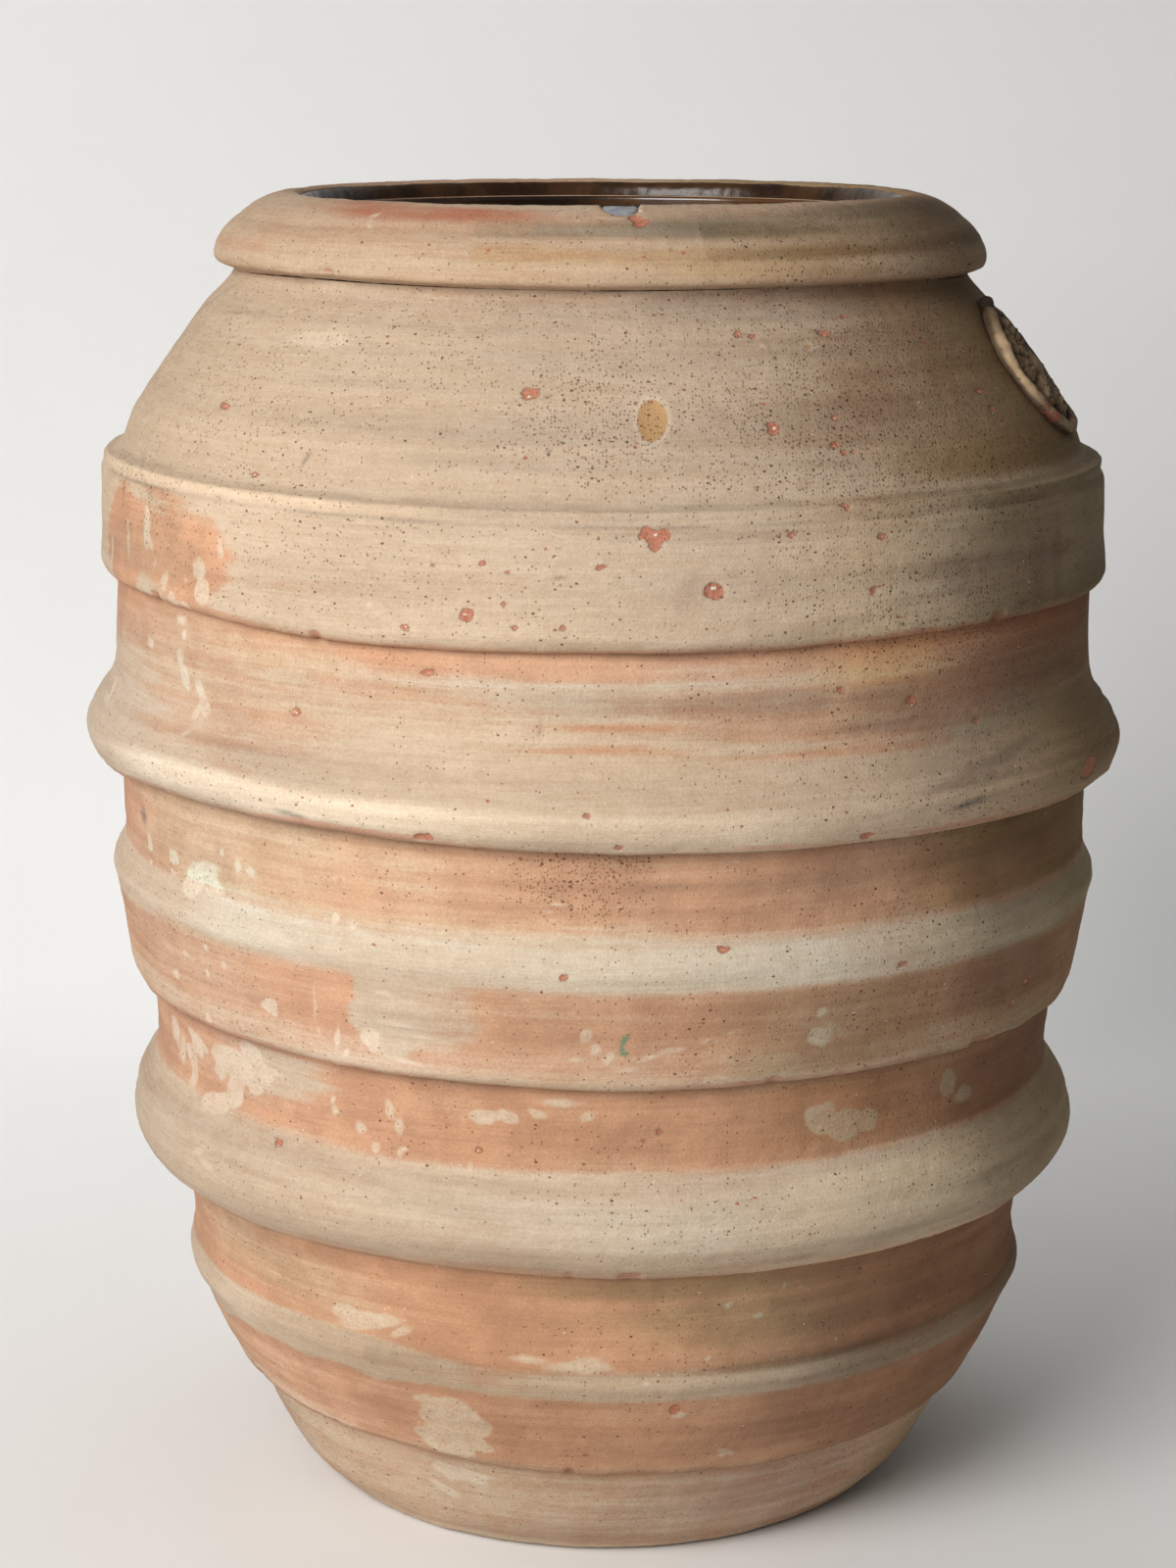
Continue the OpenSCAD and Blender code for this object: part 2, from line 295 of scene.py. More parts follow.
# ------------------------------------------------------------------ where photo features fall
env_z = np.arange(0.0, 903.0, 0.5)
env_r = np.zeros_like(env_z)
for c in first:
    a, b = first[c], last[c] + 1
    k = np.argsort(RZ[a:b])
    rr = np.interp(env_z, RZ[a:b][k], RR[a:b][k], left=0, right=0)
    env_r = np.maximum(env_r, rr)


def hit(px, py):
    """The azimuth and height where the camera's ray through a pixel of the
    1200 by 1600 frame meets the jar."""
    X = (px - 600) / FOCAL_PX
    up = -(py - 800) / FOCAL_PX
    d = np.array([X, math.cos(PITCH) + up * math.sin(PITCH), -math.sin(PITCH) + up * math.cos(PITCH)])
    lam = np.arange(1750.0, 2700.0, 0.5)
    P = CAM[None] + lam[:, None] * d[None]
    r = np.hypot(P[:, 0], P[:, 1])
    az = np.arctan2(P[:, 1], P[:, 0])
    j = np.round((az % TAU) / TAU * N).astype(int) % N
    zz = P[:, 2]
    i = np.clip(np.searchsorted(wz, zz) - 1, 0, len(wz) - 2)
    t = np.clip((zz - wz[i]) / (wz[i + 1] - wz[i]), 0, 1)
    z0 = zz - (wtab[i, j] * (1 - t) + wtab[i + 1, j] * t)
    inside_ = r <= np.interp(z0, env_z, env_r, left=0, right=0)
    if not inside_.any():
        k = int(np.argmin(r - np.interp(z0, env_z, env_r) + 1e4 * ((z0 < 2) | (z0 > 900))))
    else:
        k = int(np.argmax(inside_))
    return az[k], z0[k], r[k]


# ------------------------------------------------------------------ displacement and masks on the outside
ZG = np.repeat(RZ[:, None], N, 1)
AG = np.repeat(AZ[None, :], M, 0)
RG = np.repeat(RR[:, None], N, 1)
CI = {c: i for i, (c, _) in enumerate(CURVES)}


def band_of(c, z0, z1):
    """1 on the rows of curve c between two heights, 0 elsewhere."""
    return ((RC == CI[c]) & (RZ >= z0) & (RZ <= z1)).astype(float)


is_b1 = band_of("b1", 0, 180)
is_b2 = band_of("b2", 0, 311)
is_b3 = band_of("b3", 0, 465)
is_b4 = band_of("b4", 0, 590)
is_b5 = band_of("b5", 0, 740)
is_lip = (RC == CI["lip"]).astype(float)
is_foot = (RC == CI["foot"]).astype(float)

disp = np.zeros((M, N))
disp += 0.22 * sample(field(11, 420, 9), AG, ZG)
disp += 0.13 * sample(field(12, 180, 3.2), AG, ZG)
disp += 0.30 * sample(field(13, 60, 28), AG, ZG)
disp += 0.16 * sample(field(14, 16, 9), AG, ZG)
disp += 0.09 * sample(field(15, 3.0, 2.0), AG, ZG)
# finger grooves on the rolls
def groove(z, w, depth, seed):
    return -depth * np.exp(-((ZG - z) / w) ** 2) * (1 + 0.35 * sample(field(seed, 90, 30), AG, ZG))


disp += groove(276.5, 4.5, 0.9, 21) + groove(289, 3.0, 0.35, 22)
disp += groove(568, 3.0, 0.55, 23) + groove(549, 3.0, 0.45, 24) + groove(578, 4, 0.4, 25)
disp += groove(887, 2.6, 0.5, 26) + groove(720.8, 2.2, 0.9, 27) - groove(727.2, 1.7, 1.5, 28)
disp += groove(871, 2.4, 0.35, 29) + groove(157.5, 1.8, -0.4, 30) - groove(447.5, 1.6, 0.4, 34)
right_g = smooth(-84, -52, (np.degrees(AG) + 180) % 360 - 180) * (1 - smooth(40, 100, (np.degrees(AG) + 180) % 360 - 180))
disp += right_g * (groove(548, 2.2, 0.9, 35) + groove(559, 2.6, 1.2, 36) - groove(553.4, 2.0, 0.4, 37))
disp += groove(723.0, 1.6, 0.7, 27) - groove(727.4, 1.4, 0.9, 28)
# the strap faces are scraped a little hollow and their arrises wander
edge = np.zeros((M, N))
for c, z_e in (("b1", 154), ("b3", 442), ("b5", 722)):
    g = np.exp(-((ZG - z_e) / 5.0) ** 2) * (RC == CI[c])[:, None]
    edge += g
disp += edge * 0.45 * sample(field(31, 22, 40), AG, ZG)
low = np.zeros((M, N))
for c, z_e in (("b1", 86), ("b2", 236), ("b3", 369), ("b4", 521), ("b5", 648), ("lip", 857)):
    g = np.exp(-((ZG - z_e) / 4.0) ** 2) * (RC == CI[c])[:, None]
    low += g
disp += low * (0.5 * sample(field(32, 14, 40), AG, ZG) - 0.25)
# chips along the lower edges, where the clay broke away
chipf = sample(field(33, 5.5, 60), AG, ZG)
disp -= low * 2.4 * smooth(1.7, 2.4, chipf)
chipped = low * smooth(1.5, 2.2, chipf)

sdf_pale = np.full((M, N), 20.0)
sdf_pop = np.full((M, N), 20.0)
sdf_core = np.full((M, N), 20.0)
spk = np.zeros((M, N))
tint = np.ones((M, N, 3))
bloom = np.zeros((M, N))
pink = np.zeros((M, N))
grey = np.zeros((M, N))
worn = np.zeros((M, N))


def local(px, py, reach):
    """Rows and columns near a photo pixel, with how far each vertex is from
    it: across, and up the surface, in mm."""
    az, z, r = hit(px, py)
    k = int(np.argmin(np.hypot(RR - r, RZ - z)))
    rows = np.where((np.abs(SS - SS[k]) < reach))[0]
    dcol = int(math.ceil(reach / RR[k] / TAU * N)) + 1
    c0 = int(round((az % TAU) / TAU * N))
    cols = np.arange(c0 - dcol, c0 + dcol + 1) % N
    da = (AZ[cols] - az + math.pi) % TAU - math.pi
    across = da[None, :] * RR[rows][:, None]
    up = np.repeat((SS[rows] - SS[k])[:, None], len(cols), 1)
    return np.ix_(rows, cols), across, up, RR[k], az, z


def px_mm(px, py):
    """About how many mm one pixel covers on the jar there, across."""
    az, z, r = hit(px, py)
    y = r * math.sin(az) - CAM[1]
    return y / FOCAL_PX, az, z, r


def blob(px, py, w, h, ang=0.0, lump=0.25, seed=1, extra=0.0):
    """Signed distance to a lumpy oval drawn in photo pixels: window, distance."""
    mm, az, z, r = px_mm(px, py)
    # foreshortening of the surface across the view and up it
    ca = max(0.25, abs(math.sin(az)))
    hw, hh = w * mm / 2 / ca, h * mm / 2 * 1.05
    win, a, b, _, _, _ = local(px, py, max(hw, hh) * 1.3 + 14 + extra)
    co, si = math.cos(ang), math.sin(ang)
    x, y = a * co + b * si, -a * si + b * co
    t = np.arctan2(y / hh, x / hw)
    rng = np.random.default_rng(seed)
    k = 1 + lump * sum(rng.uniform(-1, 1) * np.cos(n * t + rng.uniform(0, TAU)) / n ** 0.7 for n in (1, 2, 3, 5))
    q = np.hypot(x / (hw * k), y / (hh * k)) + 1e-6
    d = (q - 1) * np.minimum(hw, hh) * k
    return win, d


def add_min(target, win, d):
    target[win] = np.minimum(target[win], d)


def pop(px, py, size, depth=1.6, core=True, seed=0):
    """A lime pop-out: a red crater with a white speck left in it."""
    win, d = blob(px, py, size * 1.05, size * 0.85, lump=0.42, seed=seed + int(px + py))
    add_min(sdf_pop, win, d)
    disp[win] -= 0.55 * depth * smooth(0.9, -1.6, d)
    if core:
        win, d = blob(px + size * 0.04, py + size * 0.06, size * 0.32, size * 0.28, lump=0.3, seed=seed + 7)
        add_min(sdf_core, win, d)
        disp[win] += depth * 0.3 * smooth(0.5, -1.0, d)


# lime pop-outs: place and size in photo pixels
POPS = [
    (540, 402, 17, 2.0), (789, 435, 15, 1.8), (657, 545, 15, 1.0), (668, 544, 14, 1.2), (679, 545, 12, 1.0),
    (669, 552, 14, 1.3), (727, 600, 20, 2.2),
    (612, 579, 9, 1.3), (474, 625, 15, 1.8), (515, 617, 7, 1.0), (526, 639, 8, 1.2),
    (574, 640, 6, 0.9), (414, 639, 8, 1.0), (519, 585, 6, 0.8), (492, 576, 6, 0.7),
    (441, 576, 6, 0.7), (860, 516, 12, 1.6), (899, 547, 8, 1.2), (890, 600, 8, 1.2),
    (807, 547, 6, 0.9), (753, 340, 9, 1.1), (766, 342, 6, 0.8), (840, 341, 10, 1.3),
    (861, 325, 6, 0.8), (851, 427, 8, 1.0), (850, 455, 9, 1.2), (860, 463, 7, 1.0),
    (870, 461, 6, 0.9), (1000, 399, 8, 1.2), (1012, 420, 9, 1.3), (230, 415, 9, 1.3),
    (260, 484, 6, 0.9), (437, 686, 12, 1.4), (302, 727, 8, 0.9), (600, 833, 8, 1.2),
    (633, 867, 9, 1.2), (858, 706, 9, 1.2), (929, 717, 10, 1.4), (995, 734, 6, 0.9),
    (652, 226, 19, 2.0), (673, 1158, 8, 1.1), (655, 1163, 6, 0.8), (488, 1174, 8, 1.0),
    (285, 1167, 9, 1.2), (575, 997, 9, 1.2), (920, 983, 8, 1.1), (1046, 1001, 9, 1.3),
    (1033, 1023, 7, 1.0), (1085, 976, 6, 0.9), (599, 1487, 6, 0.9), (737, 967, 10, 1.3),
    (690, 1438, 12, 0.7), (884, 853, 12, 1.6), (1111, 787, 22, 2.4), (434, 855, 15, 2.4),
]
for px, py, sz, dp in POPS:
    pop(px, py, sz, dp, core=(px, py) not in ((690, 1438), (657, 545), (679, 545), (669, 552), (434, 855), (1111, 787), (884, 853)))

# thumb oval on the shoulder: a shallow dip with a pale halo, ochre inside
win, d = blob(665, 428, 31, 48, ang=-0.12, lump=0.06, seed=5)
disp[win] -= 0.9 * smooth(2.0, -5.0, d)
thumb = np.full((M, N), 20.0)
add_min(thumb, win, d)
win, d = blob(824, 353, 14, 9, lump=0.1, seed=6)
disp[win] -= 0.5 * smooth(1.0, -2.0, d)
add_min(thumb, win, d + 1.2)

# pale patches, splashes and drips, placed by photo pixel:
# x, y, width, height, tilt, how crisp (1 is full)
PALE = [
    (838, 1143, 34, 34, 0.2, 1), (866, 1144, 50, 32, 0.1, 1), (884, 1140, 26, 24, 0.3, 1),
    (966, 1108, 26, 26, 0.5, .8), (982, 1116, 24, 20, 0.3, .8),
    (492, 1138, 30, 22, 0.0, .8), (513, 1137, 28, 18, 0.1, .8),
    (575, 1126, 56, 13, 0.0, .8), (549, 1136, 22, 12, 0.5, .7), (600, 1138, 20, 12, -0.5, .7),
    (341, 1124, 8, 14, 0.1, .8), (343, 1136, 10, 12, 0.1, .8), (369, 1150, 11, 13, 0.1, 1),
    (399, 1134, 10, 26, -0.1, .8), (407, 1147, 12, 22, 0.1, .8), (384, 1172, 8, 13, 0, .9),
    (414, 1173, 10, 10, 0, .8), (352, 1170, 7, 8, 0, .6),
    (350, 1338, 44, 16, 0.1, 1), (378, 1348, 64, 20, -0.25, 1), (404, 1360, 34, 10, -0.4, .9),
    (540, 1386, 54, 9, 0.0, .9), (590, 1392, 70, 16, -0.06, 1), (612, 1394, 30, 10, 0.2, .9),
    (452, 1434, 56, 26, 0.0, 1), (478, 1452, 66, 40, 0.0, 1), (462, 1470, 70, 40, -0.1, 1), (450, 1452, 44, 36, 0, 1),
    (490, 1474, 30, 26, 0.4, .9), (430, 1425, 26, 14, -0.3, .7),
    (458, 1502, 34, 26, 0.4, 1), (478, 1506, 52, 22, 0.2, 1), (456, 1520, 34, 16, 0.6, 1),
    (498, 1508, 34, 10, 0.0, .7), (745, 1330, 10, 8, 0, 1), (774, 1341, 9, 8, 0, 1),
    (723, 1387, 7, 5, 0, 1), (660, 1413, 10, 7, 0, 1), (818, 1311, 7, 7, 0, .7),
    (800, 1312, 10, 14, 0.2, .4), (710, 1398, 40, 6, 0, .5), (676, 318, 5, 5, 0, 1),
    (688, 322, 4, 4, 0, 1), (115, 704, 14, 12, 0.8, .8), (108, 710, 12, 8, 0.2, .8),
    (204, 702, 10, 26, -0.25, .9), (210, 720, 10, 28, -0.4, .9), (200, 728, 9, 22, 0.5, .8),
    (188, 748, 14, 9, -0.6, .9), (184, 672, 10, 18, 0.1, .8), (190, 690, 12, 28, -0.2, .8),
    (188, 646, 10, 14, 0, .6), (154, 655, 10, 18, 0, .4),
    (343, 900, 5, 16, 0, .9), (343, 935, 9, 13, 0, 1), (361, 942, 9, 9, 0, 1),
    (318, 944, 8, 8, 0, .5), (258, 890, 18, 11, 0.3, 1), (243, 884, 9, 14, 0.3, .9),
    (227, 868, 6, 9, 0, .7), (208, 886, 40, 18, -0.2, .8), (198, 898, 28, 34, -0.2, .8),
    (218, 904, 26, 20, 0.1, .7), (176, 878, 14, 30, -0.3, .6), (152, 868, 10, 34, -0.2, .5),
    (321, 1025, 4, 38, 0.08, .9), (325, 1048, 5, 12, 0, .8), (344, 1056, 6, 32, 0.15, .9),
    (354, 1076, 8, 18, 0.4, .8), (363, 1046, 3, 34, 0.05, .7), (274, 1028, 20, 24, 0, .6),
    (210, 965, 10, 12, 0.2, .6), (190, 974, 10, 10, 0.2, .6), (228, 986, 8, 14, 0.1, .6),
    (212, 996, 8, 12, 0, .6), (234, 950, 10, 8, 0, .5), (180, 994, 9, 18, 0.3, .5),
    (392, 1012, 40, 10, 0.1, .6), (420, 1024, 70, 8, 0.05, .6), (400, 1044, 60, 10, 0.0, .6),
    (430, 1060, 70, 8, 0.1, .6), (380, 1062, 24, 30, 0.1, .6), (410, 1082, 80, 8, 0.12, .6),
    (596, 1058, 14, 20, 0.4, .7), (606, 1072, 16, 14, -0.5, .8), (622, 1080, 12, 22, 0.6, .8),
    (588, 1080, 20, 8, 0.2, .6), (640, 1092, 44, 7, -0.1, .7), (664, 1078, 40, 6, -0.35, .8),
    (690, 1072, 44, 6, -0.1, .8), (720, 1064, 34, 5, -0.3, .7), (745, 1056, 30, 4, -0.2, .6),
    (700, 1094, 40, 5, 0, .6), (740, 1100, 30, 6, 0.2, .6), (560, 1046, 40, 5, 0.1, .5),
    (540, 1020, 50, 6, -0.1, .5), (600, 1016, 60, 4, 0.1, .5), (660, 1024, 30, 4, 0.0, .5),
    (806, 1026, 60, 2.2, 0.45, .8), (846, 1046, 70, 2.4, 0.62, .9), (878, 1066, 30, 2.2, 0.5, .9),
    (840, 1060, 34, 26, 0.3, .5), (838, 1034, 16, 16, 0.3, .5), (866, 1052, 40, 3, -0.3, .5),
    (203, 1066, 22, 24, 0.3, 1), (232, 1076, 40, 32, -0.2, .9), (263, 1085, 46, 40, 0.2, .6),
    (241, 1108, 22, 44, 0.15, .9), (228, 1128, 44, 30, -0.3, .5), (188, 1070, 8, 40, 0.5, .8), (200, 1096, 9, 44, 0.45, .8),
    (182, 1058, 6, 30, 0.4, .7), (250, 1096, 34, 22, 0.2, .8),
    (226, 1094, 14, 24, 0.3, .9), (250, 1100, 40, 12, 0.2, .9), (276, 1094, 26, 10, 0.1, .8),
    (238, 1118, 10, 28, 0.2, .9), (196, 1076, 14, 26, 0.8, .8), (180, 1050, 12, 30, 0.5, .7),
    (214, 1040, 9, 14, 0.6, .7), (262, 1112, 22, 16, -0.3, .7), (215, 1128, 26, 14, -.4, .5),
    (567, 922, 14, 5, 0, .9), (565, 930, 18, 4, 0, .9), (566, 937, 14, 3.4, 0, .8),
    (155, 556, 6, 14, 0, .8), (158, 576, 4, 26, 0.1, .7), (168, 594, 8, 30, 0.35, .8),
    (176, 612, 12, 24, 0.2, .8), (150, 545, 12, 60, -0.1, .35), (202, 582, 14, 30, 0.05, .7),
    (206, 604, 18, 34, 0.05, .7), (190, 592, 8, 8, 0.2, .7), (186, 616, 14, 12, 0.2, .7),
    (186, 634, 16, 12, 0, .7), (252, 572, 5, 14, 0.1, .6), (248, 596, 5, 12, 0.2, .6),
    (226, 560, 12, 30, 0.1, .3), (114, 560, 5, 40, 0, .4), (131, 560, 6, 60, 0.05, .35),
    (252, 1382, 6, 20, -0.3, .9), (244, 1376, 5, 16, -0.4, .8), (262, 1394, 12, 8, -0.2, .9),
    (288, 1392, 4, 16, 0.2, .7), (356, 1453, 16, 6, -0.5, .6), (743, 1481, 30, 7, 0.5, .9),
    (736, 1486, 12, 8, 0.3, .8), (612, 1460, 22, 8, 0, .4), (606, 1472, 16, 7, 0.1, .4),
    (690, 1446, 20, 16, 0.1, .4), (378, 618, 9, 9, 0.3, .8), (386, 624, 8, 7, -0.3, .8),
    (372, 614, 6, 5, 0, .7), (408, 608, 2, 14, 0, .3), (379, 228, 13, 8, 0.9, .9),
    (386, 221, 13, 7, -0.6, .9), (296, 318, 7, 5, 0.3, .8), (300, 314, 3, 4, 0.3, .8),
    (700, 366, 10, 14, 0.3, .35), (330, 345, 90, 26, 0.0, .25), (704, 430, 12, 14, 0, .35),
    (778, 352, 14, 12, 0, .3), (205, 1176, 26, 12, -.2, .5), (212, 1190, 22, 12, .1, .6),
    (206, 1200, 34, 6, .1, .5), (560, 1228, 60, 5, 0, .4), (470, 1226, 40, 3, 0, .5),
    (385, 1171, 9, 14, 0, .6), (410, 1176, 11, 12, 0, .6), (480, 1190, 10, 22, 0, .3),
]
for i, (px, py, w, h, ang, k) in enumerate(PALE):
    win, d = blob(px, py, w, h, ang=-ang, lump=0.3, seed=100 + i)
    add_min(sdf_pale, win, d + (1 - k) * 2.6)

# the unseen side has its own pop-outs, patches and drips
rng = np.random.default_rng(77)


def back_blob(az_deg, z, w, h, ang, lump, seed):
    """The same as blob, but placed by azimuth and height, sized in mm."""
    rows_k = np.where(RC < CI["lip"])[0]
    r_here = np.interp(z, env_z, env_r)
    k = rows_k[int(np.argmin(np.hypot(RZ[rows_k] - z, RR[rows_k] - r_here)))]
    reach = max(w, h) * 0.7 + 14
    rows = np.where(np.abs(SS - SS[k]) < reach)[0]
    dcol = int(math.ceil(reach / RR[k] / TAU * N)) + 1
    az = math.radians(az_deg)
    cols = np.arange(int(round((az % TAU) / TAU * N)) - dcol, int(round((az % TAU) / TAU * N)) + dcol + 1) % N
    da = (AZ[cols] - az + math.pi) % TAU - math.pi
    x0 = da[None, :] * RR[rows][:, None]
    y0 = np.repeat((SS[rows] - SS[k])[:, None], len(cols), 1)
    x, y = x0 * math.cos(ang) + y0 * math.sin(ang), -x0 * math.sin(ang) + y0 * math.cos(ang)
    t = np.arctan2(y / (h / 2), x / (w / 2))
    rg = np.random.default_rng(seed)
    kk = 1 + lump * sum(rg.uniform(-1, 1) * np.cos(n * t + rg.uniform(0, TAU)) / n ** 0.7 for n in (1, 2, 3, 5))
    q = np.hypot(x / (w / 2 * kk), y / (h / 2 * kk)) + 1e-6
    return np.ix_(rows, cols), (q - 1) * min(w, h) / 2 * kk


for i in range(58):
    a_, z_, sz = rng.uniform(2, 178), rng.uniform(120, 835), 3.0 + 7.5 * rng.random() ** 2.2
    win, d = back_blob(a_, z_, sz * 1.1, sz * 0.9, 0.0, 0.4, 500 + i)
    add_min(sdf_pop, win, d)
    disp[win] -= 0.6 * smooth(0.9, -1.6, d)
    if rng.random() < 0.6:
        win, d = back_blob(a_, z_ - 0.4, sz * 0.26, sz * 0.24, 0.0, 0.3, 600 + i)
        add_min(sdf_core, win, d)
for i in range(46):
    a_, z_ = rng.uniform(2, 178), rng.choice([110, 135, 200, 215, 325, 345, 390, 420, 485, 500, 610, 630, 670])
    w_, h_ = rng.uniform(6, 38), rng.uniform(5, 20)
    if rng.random() < 0.3:
        w_, h_ = rng.uniform(3, 6), rng.uniform(14, 34)
    for n_ in range(3):
        win, d = back_blob(a_ + rng.uniform(-2, 2), z_ + rng.uniform(-6, 6), w_ * rng.uniform(0.5, 1), h_ * rng.uniform(0.5, 1),
                           rng.uniform(-0.5, 0.5), 0.35, 700 + 3 * i + n_)
        add_min(sdf_pale, win, d + 0.6)

# ------------------------------------------------------------------ broad tones
f_lo = sample(field(41, 160, 60), AG, ZG)
f_md = sample(field(42, 45, 22), AG, ZG)
f_st = sample(field(43, 230, 5), AG, ZG)
f_st2 = sample(field(44, 90, 2.4), AG, ZG)
f_sp = sample(field(45, 14, 10), AG, ZG)
f_big = sample(field(46, 300, 120), AG, ZG)

# how much pale bloom lies on each height of the jar, bottom to top
BLOOM = [(0, .50), (20, .60), (60, .62), (78, .55), (84, .35), (88, .42), (93, .22), (130, .18),
         (142, .22), (145, .46), (148, .86), (154, .94), (160, .90), (164, .60), (168, .22), (180, .14),
         (192, .12), (222, .12), (229, .18), (232, .40), (238, .58), (243, .74), (252, .92),
         (262, .97), (290, .95), (300, .84), (305, .62), (309, .28), (314, .14), (320, .12),
         (350, .14), (362, .18), (366, .26), (368, .52), (371, .50), (376, .30), (400, .22),
         (425, .26), (431, .38), (436, .85), (440, .98), (454, .98), (459, .76), (463, .34),
         (468, .16), (480, .14), (505, .14), (514, .22), (518, .60), (523, .84), (528, .92),
         (535, .92), (550, .90), (570, .85), (580, .80), (587, .66), (600, .60), (612, .56),
         (624, .42), (632, .24), (638, .12), (645, .12), (647, .40), (650, .74), (655, .88),
         (700, .90), (720, .92), (726, .96), (731, .88), (740, .86), (760, .9), (800, .86),
         (840, .80), (848, .66), (850, .58), (855, .62), (862, .74), (875, .70), (890, .64),
         (902, .62)]
bt = np.array(BLOOM)
bloom += np.interp(RZ, bt[:, 0], bt[:, 1])[:, None]
az_d = (np.degrees(AG) + 180) % 360 - 180
bloom += 0.05 * f_lo + 0.05 * f_md + 0.05 * f_st + 0.04 * f_st2 + 0.03 * f_sp + 0.02 * f_big

# places where the clay shows through, or where the bloom is thicker:
# x, y, width, height, value it goes to, how strongly, soft edge in mm, tilt
COVER = [
    (190, 560, 120, 110, .10, .95, 7, 0), (150, 525, 80, 60, .12, .9, 7, 0),
    (128, 545, 56, 110, .12, .95, 6, 0), (165, 508, 120, 44, .16, .85, 6, 0),
    (215, 540, 90, 60, .14, .8, 7, 0.2), (300, 590, 170, 90, .46, .6, 22, 0),
    (250, 640, 240, 36, .26, .7, 10, 0.25), (330, 529, 70, 5, .1, .6, 2.5, 0.12),
    (640, 541, 60, 4, .2, .4, 2.5, 0), (400, 560, 260, 130, .66, .5, 30, 0),
    (210, 690, 200, 120, .40, .8, 16, 0.1), (170, 745, 60, 36, .36, .5, 8, 0),
    (330, 655, 220, 26, .16, .8, 8, 0.14), (520, 682, 420, 20, .12, .8, 5, 0.03),
    (480, 735, 300, 70, .66, .6, 16, 0.1), (380, 700, 160, 40, .58, .5, 10, 0.2),
    (620, 742, 210, 7, .12, .8, 2.2, -0.02), (590, 766, 110, 6, .12, .7, 2.2, -0.04),
    (690, 770, 130, 14, .22, .7, 4, 0.0), (440, 712, 160, 10, .3, .5, 4, 0.1),
    (860, 735, 240, 80, .30, .8, 18, -0.1), (820, 770, 220, 22, .20, .7, 6, -0.04),
    (980, 700, 150, 60, .40, .6, 16, -0.2), (740, 700, 120, 40, .36, .6, 14, -0.05),
    (240, 800, 200, 30, .44, .6, 10, 0.3), (330, 826, 200, 14, .30, .6, 4, 0.2),
    (430, 792, 140, 12, .62, .6, 4, 0.05), (600, 796, 360, 8, .70, .5, 3, 0),
    (150, 850, 70, 60, .46, .5, 10, 0), (205, 895, 70, 60, .52, .5, 9, 0),
    (390, 930, 160, 60, .26, .5, 16, 0), (900, 900, 240, 70, .16, .7, 18, 0),
    (396, 1036, 78, 96, .90, .85, 5, 0.0), (440, 1042, 84, 84, .72, .7, 9, 0.0), (270, 1095, 130, 50, .85, .85, 7, 0), (640, 1078, 240, 40, .36, .7, 9, 0),
    (560, 1030, 120, 24, .34, .6, 6, 0), (850, 1050, 130, 60, .38, .6, 10, 0.1),
    (1000, 1010, 70, 60, .36, .5, 12, -0.2), (205, 985, 190, 110, .40, .8, 12, 0.3), (250, 880, 260, 90, .40, .6, 14, 0),
    (700, 1030, 300, 30, .22, .5, 8, 0), (230, 1085, 120, 70, .40, .6, 8, 0.2),
    (380, 1150, 160, 60, .20, .5, 12, 0), (300, 1180, 200, 24, .62, .5, 6, 0.2),
    (290, 1290, 200, 66, .34, .8, 10, 0.3), (620, 1400, 260, 7, .3, .5, 3, 0),
    (330, 1424, 140, 44, .22, .85, 8, 0.3), (560, 1450, 300, 60, .16, .6, 12, 0),
    (420, 1540, 180, 50, .66, .5, 12, 0.1), (640, 1545, 240, 44, .60, .5, 12, 0),
    (330, 1500, 120, 40, .42, .6, 9, 0.6), (560, 1578, 300, 12, .3, .5, 5, 0),
    (230, 250, 60, 16, .3, .5, 6, 0), (285, 215, 90, 40, .60, .5, 12, 0),
]
for i, (px, py, w, h, v, k, soft, ang) in enumerate(COVER):
    win, d = blob(px, py, w, h, ang=-ang, lump=0.16, seed=300 + i, extra=1.5 * soft)
    d = d + soft * (0.5 * f_md[win] + 0.35 * f_st2[win] + 0.25 * f_st[win])
    m_ = k * smooth(soft, -soft, d)
    bloom[win] = bloom[win] * (1 - m_) + v * m_
strip_lo = 146 - 6 * smooth(-102, -122, az_d)
strip_hi = 162 + 8 * smooth(-102, -122, az_d)
strip = smooth(-2, 2, ZG - strip_lo + 2.4 * f_sp + 2.0 * f_md) * (1 - smooth(-2, 2, ZG - strip_hi + 1.5 * f_md)) * (RC == CI["b1"])[:, None]
strip = strip * (1 - smooth(-112, -97, az_d)) * (az_d < 0)
bloom = np.maximum(bloom, 0.92 * strip * np.clip(0.95 + 0.12 * f_st2, 0, 1.1))
for px, py, w, h, s_ in ((445, 216, 250, 27, 1.0), (370, 212, 110, 24, 0.8), (545, 206, 110, 8, 0.9), (600, 204, 60, 5, 0.8), (654, 224, 26, 12, 0.9)):
    win, d = blob(px, py, w, h, lump=0.12, seed=17, extra=10)
    pink[win] = np.maximum(pink[win], s_ * smooth(5, -5, d + 2.2 * f_st2[win] + 1.6 * f_md[win]))

